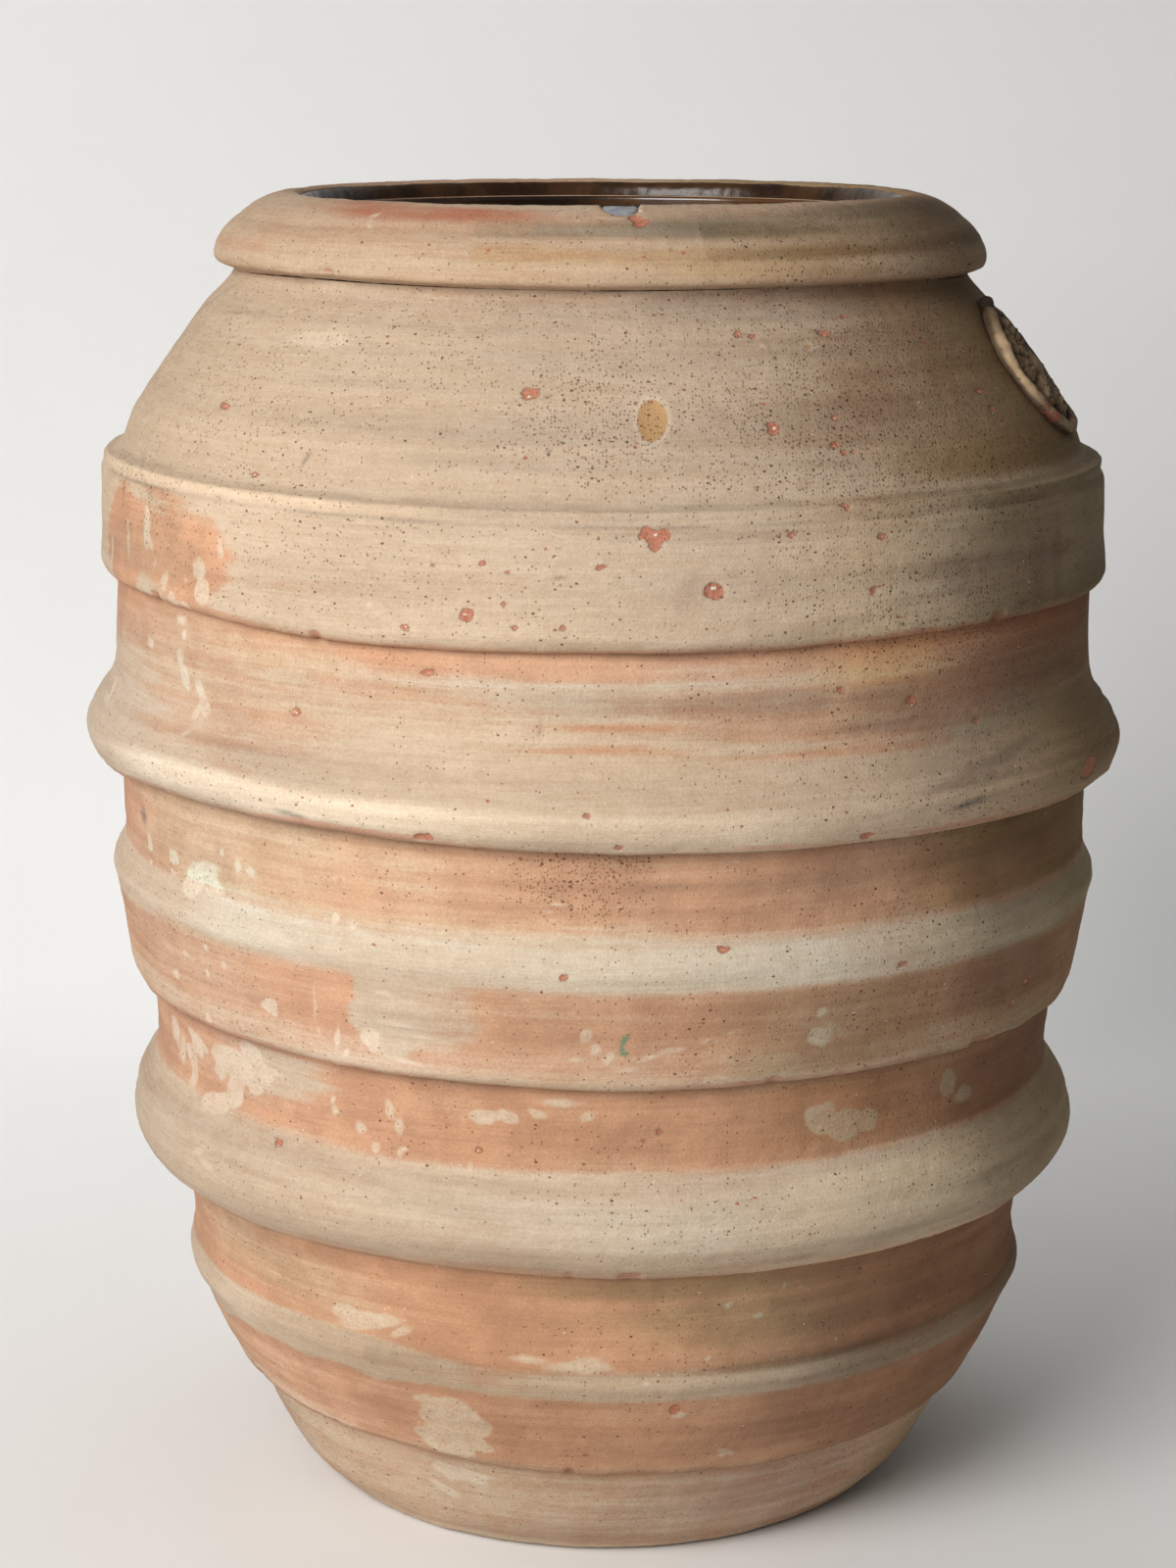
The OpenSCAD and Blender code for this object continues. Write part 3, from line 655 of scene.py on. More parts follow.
# stains, soot and grime, and a few thin strips of painted shade: x, y, width, height,
# how much red, green and blue light each takes away, soft edge in mm, tilt
STAINS_AND_SHADE = [
    (760, 1335, 240, 76, .22, .10, .16, 18, 0), (690, 1350, 160, 50, .10, .05, .10, 14, 0),
    (700, 235, 270, 20, .24, .19, .20, 4, 0.0), (850, 226, 260, 30, .28, .25, .26, 6, 0.0),
    (640, 236, 90, 10, .16, .12, .08, 4, 0.0), (760, 210, 260, 22, .10, .08, .04, 8, 0),
    (745, 268, 330, 26, .07, .14, .27, 6, 0), (960, 240, 90, 70, .16, .20, .24, 16, 0),
    # (740, 300) is painted shade under the lip's overhang
    (740, 300, 360, 8, .06, .07, .08, 3, -0.03), (720, 316, 240, 26, .17, .15, .12, 8, -0.03),
    (560, 308, 300, 10, .07, .07, .06, 5, 0), (460, 372, 260, 16, .08, .06, .03, 7, 0.02),
    (410, 392, 240, 20, .09, .06, .03, 9, 0.03), (560, 432, 420, 14, .06, .05, .03, 6, 0),
    (350, 452, 260, 12, .07, .06, .04, 6, 0.06), (600, 476, 500, 14, .06, .05, .04, 7, 0),
    (520, 340, 200, 12, .06, .05, .03, 6, 0), (660, 380, 160, 30, .05, .04, .03, 12, 0),
    (930, 420, 210, 170, .20, .26, .31, 30, -0.5), (820, 430, 190, 90, .07, .09, .11, 24, 0),
    (884, 400, 60, 40, .13, .18, .22, 10, 0.3), (860, 356, 130, 40, .08, .10, .12, 14, 0),
    (970, 470, 110, 30, .09, .08, .07, 8, -0.3), (905, 545, 240, 60, .05, .06, .07, 20, -0.1), (985, 590, 46, 30, .10, .10, .10, 7, 0), (1058, 585, 12, 70, .16, .17, .17, 4, 0), (1078, 570, 9, 90, .16, .17, .17, 3, 0), (1036, 560, 8, 60, .10, .11, .11, 3, 0),
    (1040, 560, 110, 130, .26, .29, .31, 24, 0), (700, 604, 12, 46, .12, .15, .15, 2.5, 0.35),
    (860, 530, 160, 14, .09, .10, .10, 5, -0.1), (760, 545, 160, 10, .08, .09, .09, 4, 0),
    (410, 520, 560, 8, .06, .07, .08, 3, 0.05), (460, 595, 120, 40, .04, .06, .07, 10, 0),
    (480, 620, 120, 10, .05, .07, .08, 4, 0.1), (1010, 700, 160, 100, .30, .29, .27, 28, -0.2),
    (820, 646, 240, 12, .16, .17, .16, 4, -0.15), (600, 662, 260, 6, .10, .10, .10, 2.5, 0),
    (600, 705, 340, 10, .07, .05, .03, 4, 0.02), (640, 720, 260, 16, .10, .06, .03, 6, 0),
    (780, 718, 160, 30, .10, .06, .02, 10, 0), (500, 797, 560, 9, .06, .07, .07, 3, 0),
    (300, 806, 220, 24, .08, .09, .10, 8, 0.25), (978, 826, 62, 8, .55, .52, .46, 2.5, -0.2),
    (900, 884, 300, 60, .20, .17, .15, 18, -0.1), (1020, 880, 130, 110, .26, .27, .26, 22, 0),
    (596, 890, 150, 76, .10, .12, .12, 14, 0), (146, 832, 10, 22, .42, .36, .28, 3, 0),
    (132, 828, 6, 10, .3, .3, .28, 2, 0), (940, 1030, 260, 90, .16, .18, .18, 26, -0.1),
    (1020, 1000, 100, 110, .24, .26, .26, 20, 0), (640, 1040, 440, 80, .07, .07, .07, 18, 0),
    (1000, 1120, 170, 80, .20, .23, .23, 20, -0.3), (200, 1150, 180, 44, .04, .05, .06, 12, 0.4),
    (320, 1184, 260, 20, .11, .13, .14, 5, 0.16), (470, 1205, 240, 9, .10, .11, .12, 4, 0.04),
    (1040, 1180, 90, 110, .18, .18, .18, 20, 0), (360, 1242, 260, 14, .06, .08, .09, 5, 0.16),
    (960, 1240, 160, 16, .14, .14, .14, 6, -0.3), (870, 1330, 220, 90, .22, .20, .18, 26, -0.2),
    (280, 1280, 160, 80, .07, .09, .11, 14, 0.3), (250, 1260, 40, 24, .14, .12, .08, 6, 0.5),
    (520, 1440, 560, 70, .10, .11, .12, 20, 0), (870, 1400, 170, 60, .22, .24, .24, 18, -0.4),
    (640, 1404, 420, 5, .14, .14, .14, 2, -0.02), (480, 1560, 560, 30, .08, .09, .09, 12, 0),
    (800, 1500, 200, 70, .12, .14, .14, 18, -0.4), (560, 1500, 420, 14, .10, .10, .10, 5, 0.02),
    # (1015, 778) and (1000, 800) are painted shade in the groove of band 4's roll on the right
    (165, 540, 120, 100, .17, .13, .13, 12, 0), (930, 232, 190, 60, .40, .42, .50, 14, 0), (1015, 778, 200, 9, .24, .25, .24, 2.5, -0.22), (1000, 800, 170, 7, .14, .15, .14, 2.5, -0.22), (330, 585, 220, 100, .10, .11, .11, 22, 0),
    (240, 735, 90, 30, .06, .07, .07, 12, 0.4), (170, 480, 200, 40, .05, .06, .07, 12, 0.4),
]
tint[...] = 1.0
for i, (px, py, w, h, kr, kg, kb, soft, ang) in enumerate(STAINS_AND_SHADE):
    win, d = blob(px, py, w, h, ang=-ang, lump=0.14, seed=400 + i, extra=1.6 * soft)
    calm = 0.5 if soft > 15 else 1.0
    d = d + soft * calm * (0.55 * f_md[win] + 0.4 * f_st2[win] + 0.3 * f_st[win])
    m_ = smooth(soft, -soft, d)
    for ch, kc in enumerate((kr, kg, kb)):
        tint[win[0], win[1], ch] *= 1 - kc * m_

# grime and painted shade that rise round the right and the back, painted shade on the walls between and below the bands
# on the right, and darker towards the bottom
side = smooth(-66, -22, az_d) * (1 - smooth(55, 130, az_d))
grime_and_shade = side * np.clip(0.60 + 0.22 * f_lo + 0.16 * f_md + 0.10 * f_st, 0, 1.2)
tint *= 1 - grime_and_shade[..., None] * np.array([0.20, 0.22, 0.25])[None, None]
# painted shade down the right side
right_shade = smooth(-52, -20, az_d) * (1 - smooth(60, 130, az_d))
tint *= 1 - (right_shade * np.clip(0.9 + 0.15 * f_lo + 0.12 * f_md, 0, 1.3))[..., None] * np.array([0.28, 0.32, 0.43])[None, None]
shade = 1 - smooth(60, 130, az_d)
# painted shade on the walls between the bands on the right, in the lee of their overhang
between = np.where(((ZG > 466) & (ZG < 516)) | ((ZG > 594) & (ZG < 645)), 1.0, 0.0)
tint *= 1 - (between * smooth(-52, -30, az_d) * shade)[..., None] * np.array([0.14, 0.17, 0.22])[None, None]
# the lower walls: painted shade on the right, band 2 left out where it stands into the light, and a little darker and
# bluer from the front round to the right
not_b2 = 1 - 0.85 * is_b2[:, None]
below = (1 - smooth(400, 466, ZG)) * (1 - 0.55 * is_b3[:, None]) * (1 - is_foot[:, None])
tint *= 1 - (below * not_b2 * smooth(-76, -50, az_d) * shade)[..., None] * np.array([0.24, 0.27, 0.32])[None, None]
tint *= 1 - (below * not_b2 * (1 - is_foot[:, None]) * smooth(-128, -104, az_d) * shade)[..., None] * np.array([0.07, 0.09, 0.13])[None, None]
# painted shade on the right of each height, the walls in the lee of the bands darker and band 2's roll painted lighter
# where it stands out into the light, and paler low on the left
right_height_shade = smooth(-64, -42, az_d) * shade
for z0_, z1_, k_ in ((0, 84, (-.02, .0, .10)), (86, 230, (.22, .29, .38)), (232, 310, (-.12, -.15, -.11)), (366, 462, (.02, -.04, .04)),
                     (466, 516, (.33, .28, .47)), (517, 590, (.07, .10, .16)), (594, 645, (.12, .22, .28)), (646, 733, (.36, .37, .48)), (736, 850, (.22, .29, .43))):
    m_ = smooth(z0_ - 3, z0_ + 3, ZG) * (1 - smooth(z1_ - 3, z1_ + 3, ZG)) * right_height_shade * (1 - is_lip[:, None])
    tint *= 1 - (m_ * np.clip(0.95 + 0.22 * f_lo + 0.16 * f_md + 0.10 * f_st, 0.2, 1.4))[..., None] * np.array(k_)[None, None]
# tone by height and azimuth, place by place; band 2's roll on the right (234 to 300) is painted light where it stands
# out into the light, and the underside of band 4's roll (519 to 545) is painted light that lifts its shading
for z0_, z1_, a0_, a1_, k_ in ((374, 432, -76, -54, (-.16, -.12, -.16)), (318, 364, -72, -52, (-.08, -.11, -.18)), (234, 300, -70, -46, (.10, .13, .11)),
                               (594, 645, -66, -52, (.12, .10, -.06)), (646, 733, -70, -56, (.02, .0, -.08)),
                               (436, 460, -140, -62, (.08, .17, .23)), (374, 432, -124, -104, (.08, .10, .13)), (519, 545, -150, -72, (.20, .26, .30)), (466, 516, -150, -82, (0, .07, .09)), (622, 645, -110, -74, (0, .06, .12)), (86, 140, -150, -124, (.12, .14, .18)),
                               (142, 168, -152, -124, (.12, .15, .20)), (0, 84, -150, -118, (.10, .09, .07)), (0, 84, -112, -78, (.06, .12, .10)), (256, 292, -116, -74, (.02, .07, .10)),
                               (182, 230, -156, -122, (.0, .09, .11)), (466, 515, -156, -122, (.0, .09, .11)), (592, 645, -150, -118, (.0, .09, .11))):
    m_ = smooth(z0_ - 3, z0_ + 3, ZG + 2.0 * f_st2) * (1 - smooth(z1_ - 3, z1_ + 3, ZG + 2.0 * f_st2)) * smooth(a0_ - 6, a0_ + 6, az_d) * (1 - smooth(a1_ - 6, a1_ + 6, az_d))
    tint *= 1 + (m_ * np.clip(1.0 + 0.3 * f_md + 0.2 * f_st, 0, 1.5))[..., None] * np.array(k_)[None, None]
backs = smooth(60, 120, az_d) * (1 - smooth(165, 180, np.abs(az_d)))
tint *= 1 - (backs * np.clip(0.4 + 0.3 * f_lo + 0.25 * f_md, 0, 1))[..., None] * np.array([0.14, 0.17, 0.20])[None, None]
near_bottom = 1 - smooth(60, 260, ZG)
tint *= 1 - (near_bottom * np.clip(0.7 + 0.2 * f_lo + 0.15 * f_md, 0, 1.2))[..., None] * np.array([0.03, 0.03, 0.05])[None, None]
upper = smooth(726, 745, ZG) * (1 - is_lip[:, None])
tint *= 1 - upper[..., None] * np.array([0.10, 0.11, 0.12])[None, None]
tint *= 1 - is_lip[:, None, None] * np.array([0.09, 0.14, 0.19])[None, None]
tint *= (1 + 0.018 * f_st + 0.018 * f_st2 + 0.014 * f_md)[..., None]
tint *= 1 + 0.02 * f_lo[..., None] * np.array([0.6, 0.0, -0.9])[None, None]

# painted highlight along the top strap's bead, and thin lines of painted shadow above and below it
bead_highlight = np.exp(-((ZG - 726.4) / 2.3) ** 2) * (RC == CI["b5"])[:, None] * np.clip(0.6 + 0.5 * f_st2 + 0.3 * f_sp, 0, 1.4)
tint *= 1 + 0.17 * bead_highlight[..., None]
bead_shadow_lines = (np.exp(-((ZG - 721.2) / 1.3) ** 2) + 0.8 * np.exp(-((ZG - 731.6) / 1.3) ** 2)) * (RC == CI["b5"])[:, None]
tint *= 1 - 0.24 * (bead_shadow_lines * np.clip(0.8 + 0.5 * f_sp, 0, 1.5))[..., None]

# dirt and painted contact shade round the foot of the medallion
_k = np.where(RC == CI["b5"])[0]
_k = _k[int(np.argmin(np.abs(RZ[_k] - 791)))]
med_a = ((AG - math.radians(-17.0) + math.pi) % TAU - math.pi) * RG
med_b = np.repeat((SS - SS[_k])[:, None], N, 1)
med_d = np.where((RC == CI["b5"])[:, None], (np.hypot(med_a / 54.6, (med_b - 1.2) / 50.2) - 1) * 52, 60.0)
tint *= 1 - (0.55 * np.exp(-((med_d - 0.4) / 1.7) ** 2) + 0.16 * np.exp(-((med_d - 2) / 7.0) ** 2))[..., None] * np.array([0.9, 1.0, 1.05])[None, None]

# painted shadow along the top of band 1's ledge on the right
ledge_shadow = np.exp(-((ZG - 165.5) / 2.2) ** 2) * (RC == CI["b1"])[:, None] * smooth(-78, -48, az_d) * shade
tint *= 1 - 0.42 * (ledge_shadow * np.clip(0.9 + 0.3 * f_md + 0.3 * f_st, 0, 1.3))[..., None]

belt = np.exp(-((ZG - 243.5) / 3.6) ** 2) * is_b2[:, None] * smooth(-84, -58, az_d) * shade
tint *= 1 - (belt * np.clip(0.8 + 0.5 * f_sp + 0.3 * f_md, 0, 1.4))[..., None] * np.array([0.26, 0.32, 0.36])[None, None]
# darker under the neck on the right: a brown-grey stain, with painted shade under the lip's overhang
neck_stain_shade = smooth(818, 846, ZG) * (1 - is_lip[:, None]) * smooth(-76, -50, az_d) * (1 - smooth(-34, -14, az_d))
tint *= 1 - (neck_stain_shade * np.clip(0.8 + 0.4 * f_st2 + 0.3 * f_md, 0, 1.3))[..., None] * np.array([0.26, 0.26, 0.24])[None, None]

# dirt and painted shade in the creases
crease_dirt_shade = np.zeros((M, N))
for z_c, up, dn in ((84.4, 2.5, 4), (231.8, 2.5, 5), (366.8, 2.5, 5), (516.6, 2.5, 5), (645.2, 2.5, 5), (849.8, 1.8, 4)):
    crease_dirt_shade += np.where(ZG > z_c, np.exp(-((ZG - z_c) / up) ** 2), np.exp(-((ZG - z_c) / dn) ** 2)) * (0.45 if z_c > 800 else 1.0)
crease_dirt_shade = np.clip(crease_dirt_shade, 0, 1) * np.clip(0.85 + 0.3 * f_md, 0.2, 1.3)
tint *= 1 - crease_dirt_shade[..., None] * np.array([0.16, 0.18, 0.20])[None, None]
worn += low * np.clip(0.62 + 0.35 * f_md, 0, 1.2) * np.where((RC == CI["lip"])[:, None], 0.35, 1.0)
worn += edge * 0.22 * np.clip(0.6 + 0.5 * f_sp, 0, 2)
worn += 0.7 * chipped

# speckle: dense on the right of the shoulder and upper band
spk += 0.045 + 0.05 * np.clip(f_md, -1, 2)
spk += smooth(-80, -52, az_d) * (1 - smooth(30, 90, az_d)) * smooth(500, 640, ZG) * 0.62
spk += 0.16 * smooth(560, 760, ZG) + 0.3 * backs * smooth(500, 640, ZG)
spk += smooth(-66, -46, az_d) * (1 - smooth(30, 90, az_d)) * 0.22
spk += smooth(-62, -40, az_d) * (1 - smooth(30, 90, az_d)) * smooth(590, 600, ZG) * (1 - smooth(640, 650, ZG)) * 0.5
spk += smooth(-84, -56, az_d) * (1 - smooth(30, 90, az_d)) * smooth(735, 750, ZG) * 0.4
spk *= 1 + 0.45 * np.clip(f_sp, -1, 1.6) + 0.3 * np.clip(f_md, -1, 1.6)
spk *= 1 - 0.5 * is_lip[:, None]
win, d = blob(596, 892, 150, 84, lump=0.2, seed=61, extra=10)
spk[win] += 2.6 * smooth(10, -26, d)
for px, py, w, h, k in ((595, 430, 160, 130, 0.85), (700, 420, 260, 200, 0.30), (860, 440, 240, 190, 0.45), (960, 420, 150, 160, 0.5)):
    win, d = blob(px, py, w, h, lump=0.2, seed=63, extra=22)
    spk[win] += k * smooth(18, -22, d)
win, d = blob(979, 825, 60, 12, lump=0.3, seed=62)
spk[win] += 0.9 * smooth(3, -4, d)
for px, py, w, h, k, ang in ((299, 834, 34, 7, .42, 0.15), (314, 468, 3.5, 20, .45, 0.35), (632, 300, 40, 3, .2, 0),
                             (560, 404, 9, 4, .4, 0), (561, 459, 6, 4, .5, 0.5), (550, 751, 2.6, 18, .4, 0.05),
                             (572, 588, 10, 2.4, .5, 0), (1045, 614, 9, 6, .4, 0), (254, 318, 50, 3, .3, -0.12),
                             (216, 308, 30, 2.6, .35, -0.6), (126, 495, 2, 40, .3, 0), (150, 500, 70, 2.6, .3, 0.5)):
    win, d = blob(px, py, w, h, ang=-ang, lump=0.25, seed=64)
    tint[win] *= (1 - k * smooth(1, -1.2, d))[..., None]
    disp[win] -= 0.5 * smooth(1, -1.5, d)
green = np.full((M, N), 20.0)
win, d = blob(636, 1062, 8, 14, ang=-0.4, lump=0.35, seed=65)
add_min(green, win, d)
win, d = blob(637, 1074, 9, 9, lump=0.35, seed=66)
add_min(green, win, d)

# rim chip: a pocket for the plug, at the front of the crest
CHIP_AZ, CHIP_Z, CHIP_R = hit(633, 214)
lip_rows = np.arange(first["lip"], last["lip"] + 1)
k219 = lip_rows[int(np.argmin(np.abs(RR[lip_rows] - 219.0) + 1e3 * (RZ[lip_rows] < 895)))]
chip_a = ((AG - CHIP_AZ + math.pi) % TAU - math.pi) * RG
chip_b = np.repeat((SS[k219] - SS)[:, None], N, 1)
chip_sdf = np.where(chip_b > 0, (np.hypot(chip_a / 11.4, chip_b / 14.0) - 1) * 11.4, np.abs(chip_a) - 11.4)
chip_sdf = chip_sdf + 0.5 * sample(field(70, 5, 3), AG, ZG)
chip_sdf = np.where(is_lip[:, None] > 0, chip_sdf, 20.0)
disp -= 3.4 * smooth(1.0, -1.4, chip_sdf)
ridge = np.exp(-((chip_sdf - 1.2) / 1.2) ** 2) * is_lip[:, None]
tint *= 1 - 0.12 * ridge[..., None]

# glaze on the inner edge of the rim: runs a little over the crest
gl_edge = 206.4 + 0.35 * sample(field(71, 60, 400), AG, np.full_like(ZG, 450)) + 0.2 * sample(field(72, 14, 400), AG, np.full_like(ZG, 450))
sdf_glaze = np.where(is_lip[:, None] * (RG < 222) > 0, RG - gl_edge, 20.0)
sdf_glaze = np.where((is_lip[:, None] > 0) & (RG < 207) & (ZG < 899), RG - gl_edge - 0.5, sdf_glaze)

# ------------------------------------------------------------------ positions
ROUND = round_out(RZ)
LIFT = waver(RZ)
rim_flat = smooth(1.0, 0.0, is_lip * 0)[:, None]
# the neck joint sits a little higher at the front
LIFT = LIFT + 2.8 * np.exp(-((ZG - 849.8) / 3.2) ** 2) * smooth(78, 45, np.abs(az_d + 90)) * (RZ > 838)[:, None]
PR = RG + ROUND + disp * NR[:, None]
PZ = ZG + LIFT + disp * NZ[:, None]
# nothing under the floor, and nothing outside the CAD's box
PZ = np.clip(PZ, 0.0, 902.9)
PR = np.minimum(PR, 361.3)
OUT = np.stack([PR * np.cos(AG), PR * np.sin(AG), PZ], -1)

# shading normals of the whole outside, so that neighbouring pieces agree
NG = np.zeros((M, N, 3))
for c in first:
    a, b = first[c], last[c] + 1
    up = np.gradient(OUT[a:b], axis=0)
    across = np.roll(OUT[a:b], -1, 1) - np.roll(OUT[a:b], 1, 1)
    NG[a:b] = np.cross(across, up)
NG /= np.linalg.norm(NG, axis=2, keepdims=True)

c1 = np.concatenate([tint, bloom[..., None]], -1)
spk = np.clip(spk, 0, 1.35)
c2 = np.stack([sdf_pale, sdf_pop, sdf_core, spk], -1)
c3 = np.stack([pink, grey, worn, sdf_glaze], -1)
c4 = np.stack([thumb, green, np.zeros((M, N)), np.zeros((M, N))], -1)
ATTR = np.concatenate([c1, c2, c3, c4], -1)
PLAIN = np.array([1, 1, 1, 0.4, 20, 20, 20, 0.1, 0, 0, 0, 20, 20, 20, 0, 0], float)


# ------------------------------------------------------------------ meshes
def make_mesh(name, verts, faces, attrs=None, uv=None, normals=None, hard=None):
    me = bpy.data.meshes.new(name)
    nv = len(verts)
    me.vertices.add(nv)
    me.vertices.foreach_set("co", np.asarray(verts, np.float32).ravel())
    quads = [f for f in faces if len(f)]
    sizes = np.concatenate([np.full(len(f), f.shape[1]) for f in quads])
    loops = np.concatenate([f.ravel() for f in quads])
    me.loops.add(len(loops))
    me.loops.foreach_set("vertex_index", loops.astype(np.int32))
    me.polygons.add(len(sizes))
    starts = np.concatenate([[0], np.cumsum(sizes)[:-1]])
    me.polygons.foreach_set("loop_start", starts.astype(np.int32))
    me.update(calc_edges=True)
    me.validate()
    me.polygons.foreach_set("use_smooth", np.ones(len(sizes), bool))
    if hard is not None and len(hard):
        ev = np.zeros(len(me.edges) * 2, np.int32)
        me.edges.foreach_get("vertices", ev)
        ev = np.sort(ev.reshape(-1, 2), 1).astype(np.int64)
        hv = np.sort(hard, 1).astype(np.int64)
        sharp = np.isin(ev[:, 0] * nv + ev[:, 1], hv[:, 0] * nv + hv[:, 1])
        at = me.attributes.new("sharp_edge", "BOOLEAN", "EDGE")
        at.data.foreach_set("value", sharp)
    if normals is not None:
        me.normals_split_custom_set(np.asarray(normals, np.float32))
    if attrs is not None:
        for k in range(4):
            at = me.attributes.new("c%d" % (k + 1), "FLOAT_COLOR", "POINT")
            at.data.foreach_set("color", np.ascontiguousarray(attrs[:, 4 * k:4 * k + 4], np.float32).ravel())
    if uv is not None:
        layer = me.uv_layers.new(name="OFBake")
        layer.data.foreach_set("uv", np.asarray(uv, np.float32).ravel())
    me.update()
    ob = bpy.data.objects.new(name, me)
    bpy.context.scene.collection.objects.link(ob)
    return ob


def ring_solid(name, P, A, weight, strips=4, closed=True, cap_first=False, cap_last=False, fine=None):
    """A closed solid of revolution from rows of points P (m, n, 3) in mm. A is
    the rows' attributes, weight how much texture each row gap gets. fine is
    the first of the rows that come with shading normals, and those normals."""
    m, n = P.shape[:2]
    j = np.arange(n)
    j1 = (j + 1) % n
    gaps = [(i, (i + 1) % m) for i in range(m if closed else m - 1)]
    d = [np.hypot(*(np.array([np.hypot(P[b, 0, 0], P[b, 0, 1]) - np.hypot(P[a, 0, 0], P[a, 0, 1]), P[b, 0, 2] - P[a, 0, 2]]))) * weight[a] + 1e-4 for a, b in gaps]
    vpos = np.concatenate([[0], np.cumsum(d)])
    vpos /= vpos[-1]
    faces, uvs = [], []
    per = n // strips
    seg = np.minimum(j // per, strips - 1)
    u0 = (j - seg * per) / per
    u1 = (j + 1 - seg * per) / per
    for g, (a, b) in enumerate(gaps):
        faces.append(np.stack([a * n + j, a * n + j1, b * n + j1, b * n + j], 1))
        va, vb = vpos[g], vpos[g + 1]
        lo = (seg + 0.01 + 0.98 * va) / strips
        hi = (seg + 0.01 + 0.98 * vb) / strips
        uvs.append(np.stack([u0, lo, u1, lo, u1, hi, u0, hi], 1).reshape(-1, 2))
    verts = P.reshape(-1, 3)
    attrs = A.reshape(-1, A.shape[-1])
    tris, tuv = [], []
    for flag, row, flip in ((cap_first, 0, False), (cap_last, m - 1, True)):
        if flag:
            c = P[row].mean(0)
            ci = len(verts)
            verts = np.concatenate([verts, c[None]])
            attrs = np.concatenate([attrs, A[row].mean(0)[None]])
            f = np.stack([row * n + j, np.full(n, ci), row * n + j1], 1)
            if flip:
                f = f[:, ::-1]
            tris.append(f)
            tuv.append(np.tile([[0.001, 0.001], [0.002, 0.001], [0.002, 0.002]], (n, 1)))
    allf = [np.concatenate(faces)] + ([np.concatenate(tris)] if tris else [])
    uv = np.concatenate([np.concatenate(uvs)] + tuv)
    if fine is None:
        return make_mesh(name, verts * 0.001, allf, attrs, uv)
    n0, ng = fine
    n1 = n0 + len(ng) - 1
    normals = np.zeros((len(gaps), n, 4, 3))
    normals[n0:n1, :, 0] = ng[:-1]
    normals[n0:n1, :, 1] = ng[:-1][:, j1]
    normals[n0:n1, :, 2] = ng[1:][:, j1]
    normals[n0:n1, :, 3] = ng[1:]
    normals = np.concatenate([normals.reshape(-1, 3)] + [np.zeros((3 * len(t), 3)) for t in tris])
    hard = np.concatenate([np.stack([k * n + j, k * n + j1], 1) for k in (n0, n1)])
    return make_mesh(name, verts * 0.001, allf, attrs, uv, normals, hard)


def hidden(rz):
    """Rows of plain surface at [radius, height] points, with the jar's tilt."""
    rz = np.array(rz, float)
    r = rz[:, 0][:, None] + round_out(rz[:, 1]) * 1.0
    z = rz[:, 1][:, None] + waver(rz[:, 1])
    a = AZ[None, :]
    P = np.stack([r * np.cos(a), r * np.sin(a), z], -1)
    A = np.tile(PLAIN, (len(rz), N, 1))
    return P, A


def ring_piece(name, lo, hi, below, above, back, strips=4):
    """A ring with fine outer rows lo..hi, plain hidden rows below and above
    them, and a plain back, in order round the section."""
    parts = []
    if below:
        parts.append(hidden(below) + (0.1,))
    parts.append((OUT[lo:hi + 1], ATTR[lo:hi + 1], 1.0))
    if above:
        parts.append(hidden(above) + (0.1,))
    if back:
        parts.append(hidden(back) + (0.12,))
    P = np.concatenate([p[0] for p in parts])
    A = np.concatenate([p[1] for p in parts])
    w = np.concatenate([np.full(len(p[0]), p[2]) for p in parts])
    n0 = len(below) if below else 0
    return ring_solid(name, P, A, w, strips, fine=(n0, NG[lo:hi + 1]))


def wall_pts(a, b, n=4, off=0.0):
    return [(float(wall(z)) + off, z) for z in np.linspace(a, b, n)]


def inner_pts(a, b, n=6):
    zs = sorted(set([a, b] + [z for z in INNER[:, 0] if min(a, b) < z < max(a, b)]), reverse=a > b)
    return [(float(inside(z)), float(z)) for z in zs]


J1, J2, J3, J4, J5, NECK = 124.0, 268.0, 406.0, 545.0, 687.0, 848.0
k30 = row_at("foot", 30)
kb1 = row_at("b1", 185)
kb2 = row_at("b2", 316)
kb3 = row_at("b3", 470)
kb4 = row_at("b4", 594)
kb5 = row_at("b5", 743.4)

pieces = {}
# the slab: a flat underside with a soft worn edge
slab_lo = hidden([(60, 0.0), (140, 0.0), (186, 0.0), (196, 0.15)])
slab_hi = hidden([(170, 29.9), (60, 29.9)])
slab_lo[0][..., 2] = np.clip(slab_lo[0][..., 2], 0, 900)
P = np.concatenate([slab_lo[0], OUT[:k30 + 1], slab_hi[0]])
A = np.concatenate([slab_lo[1], ATTR[:k30 + 1], slab_hi[1]])
w = np.concatenate([np.full(4, 0.5), np.ones(k30 + 1), np.full(2, 0.1)])
pieces["floor_slab"] = ring_solid("slab_clay", P, A, w, 4, closed=False, cap_first=True, cap_last=True,
                                  fine=(4, NG[:k30 + 1]))

pieces["foot_course"] = ring_piece("foot_wall", k30, last["foot"], None,
                                   wall_pts(92, J1, 3), inner_pts(J1, 30), 4)
pieces["lower_course"] = ring_piece("lower_wall", kb1, last["b1"], wall_pts(J1, 176, 4),
                                    wall_pts(238, J2, 3), inner_pts(J2, J1), 4)
pieces["middle_course"] = ring_piece("middle_wall", kb2, last["b2"], wall_pts(J2, 308, 3),
                                     wall_pts(372, J3, 3), inner_pts(J3, J2), 4)
pieces["belly_course"] = ring_piece("belly_wall", kb3, last["b3"], wall_pts(J3, 462, 3, -0.6),
                                    wall_pts(522, J4, 3), inner_pts(J4, J3), 4)
pieces["upper_course"] = ring_piece("upper_wall", kb4, last["b4"], wall_pts(J4, 588, 3, -0.6),
                                    wall_pts(651, J5, 3), inner_pts(J5, J4), 4)
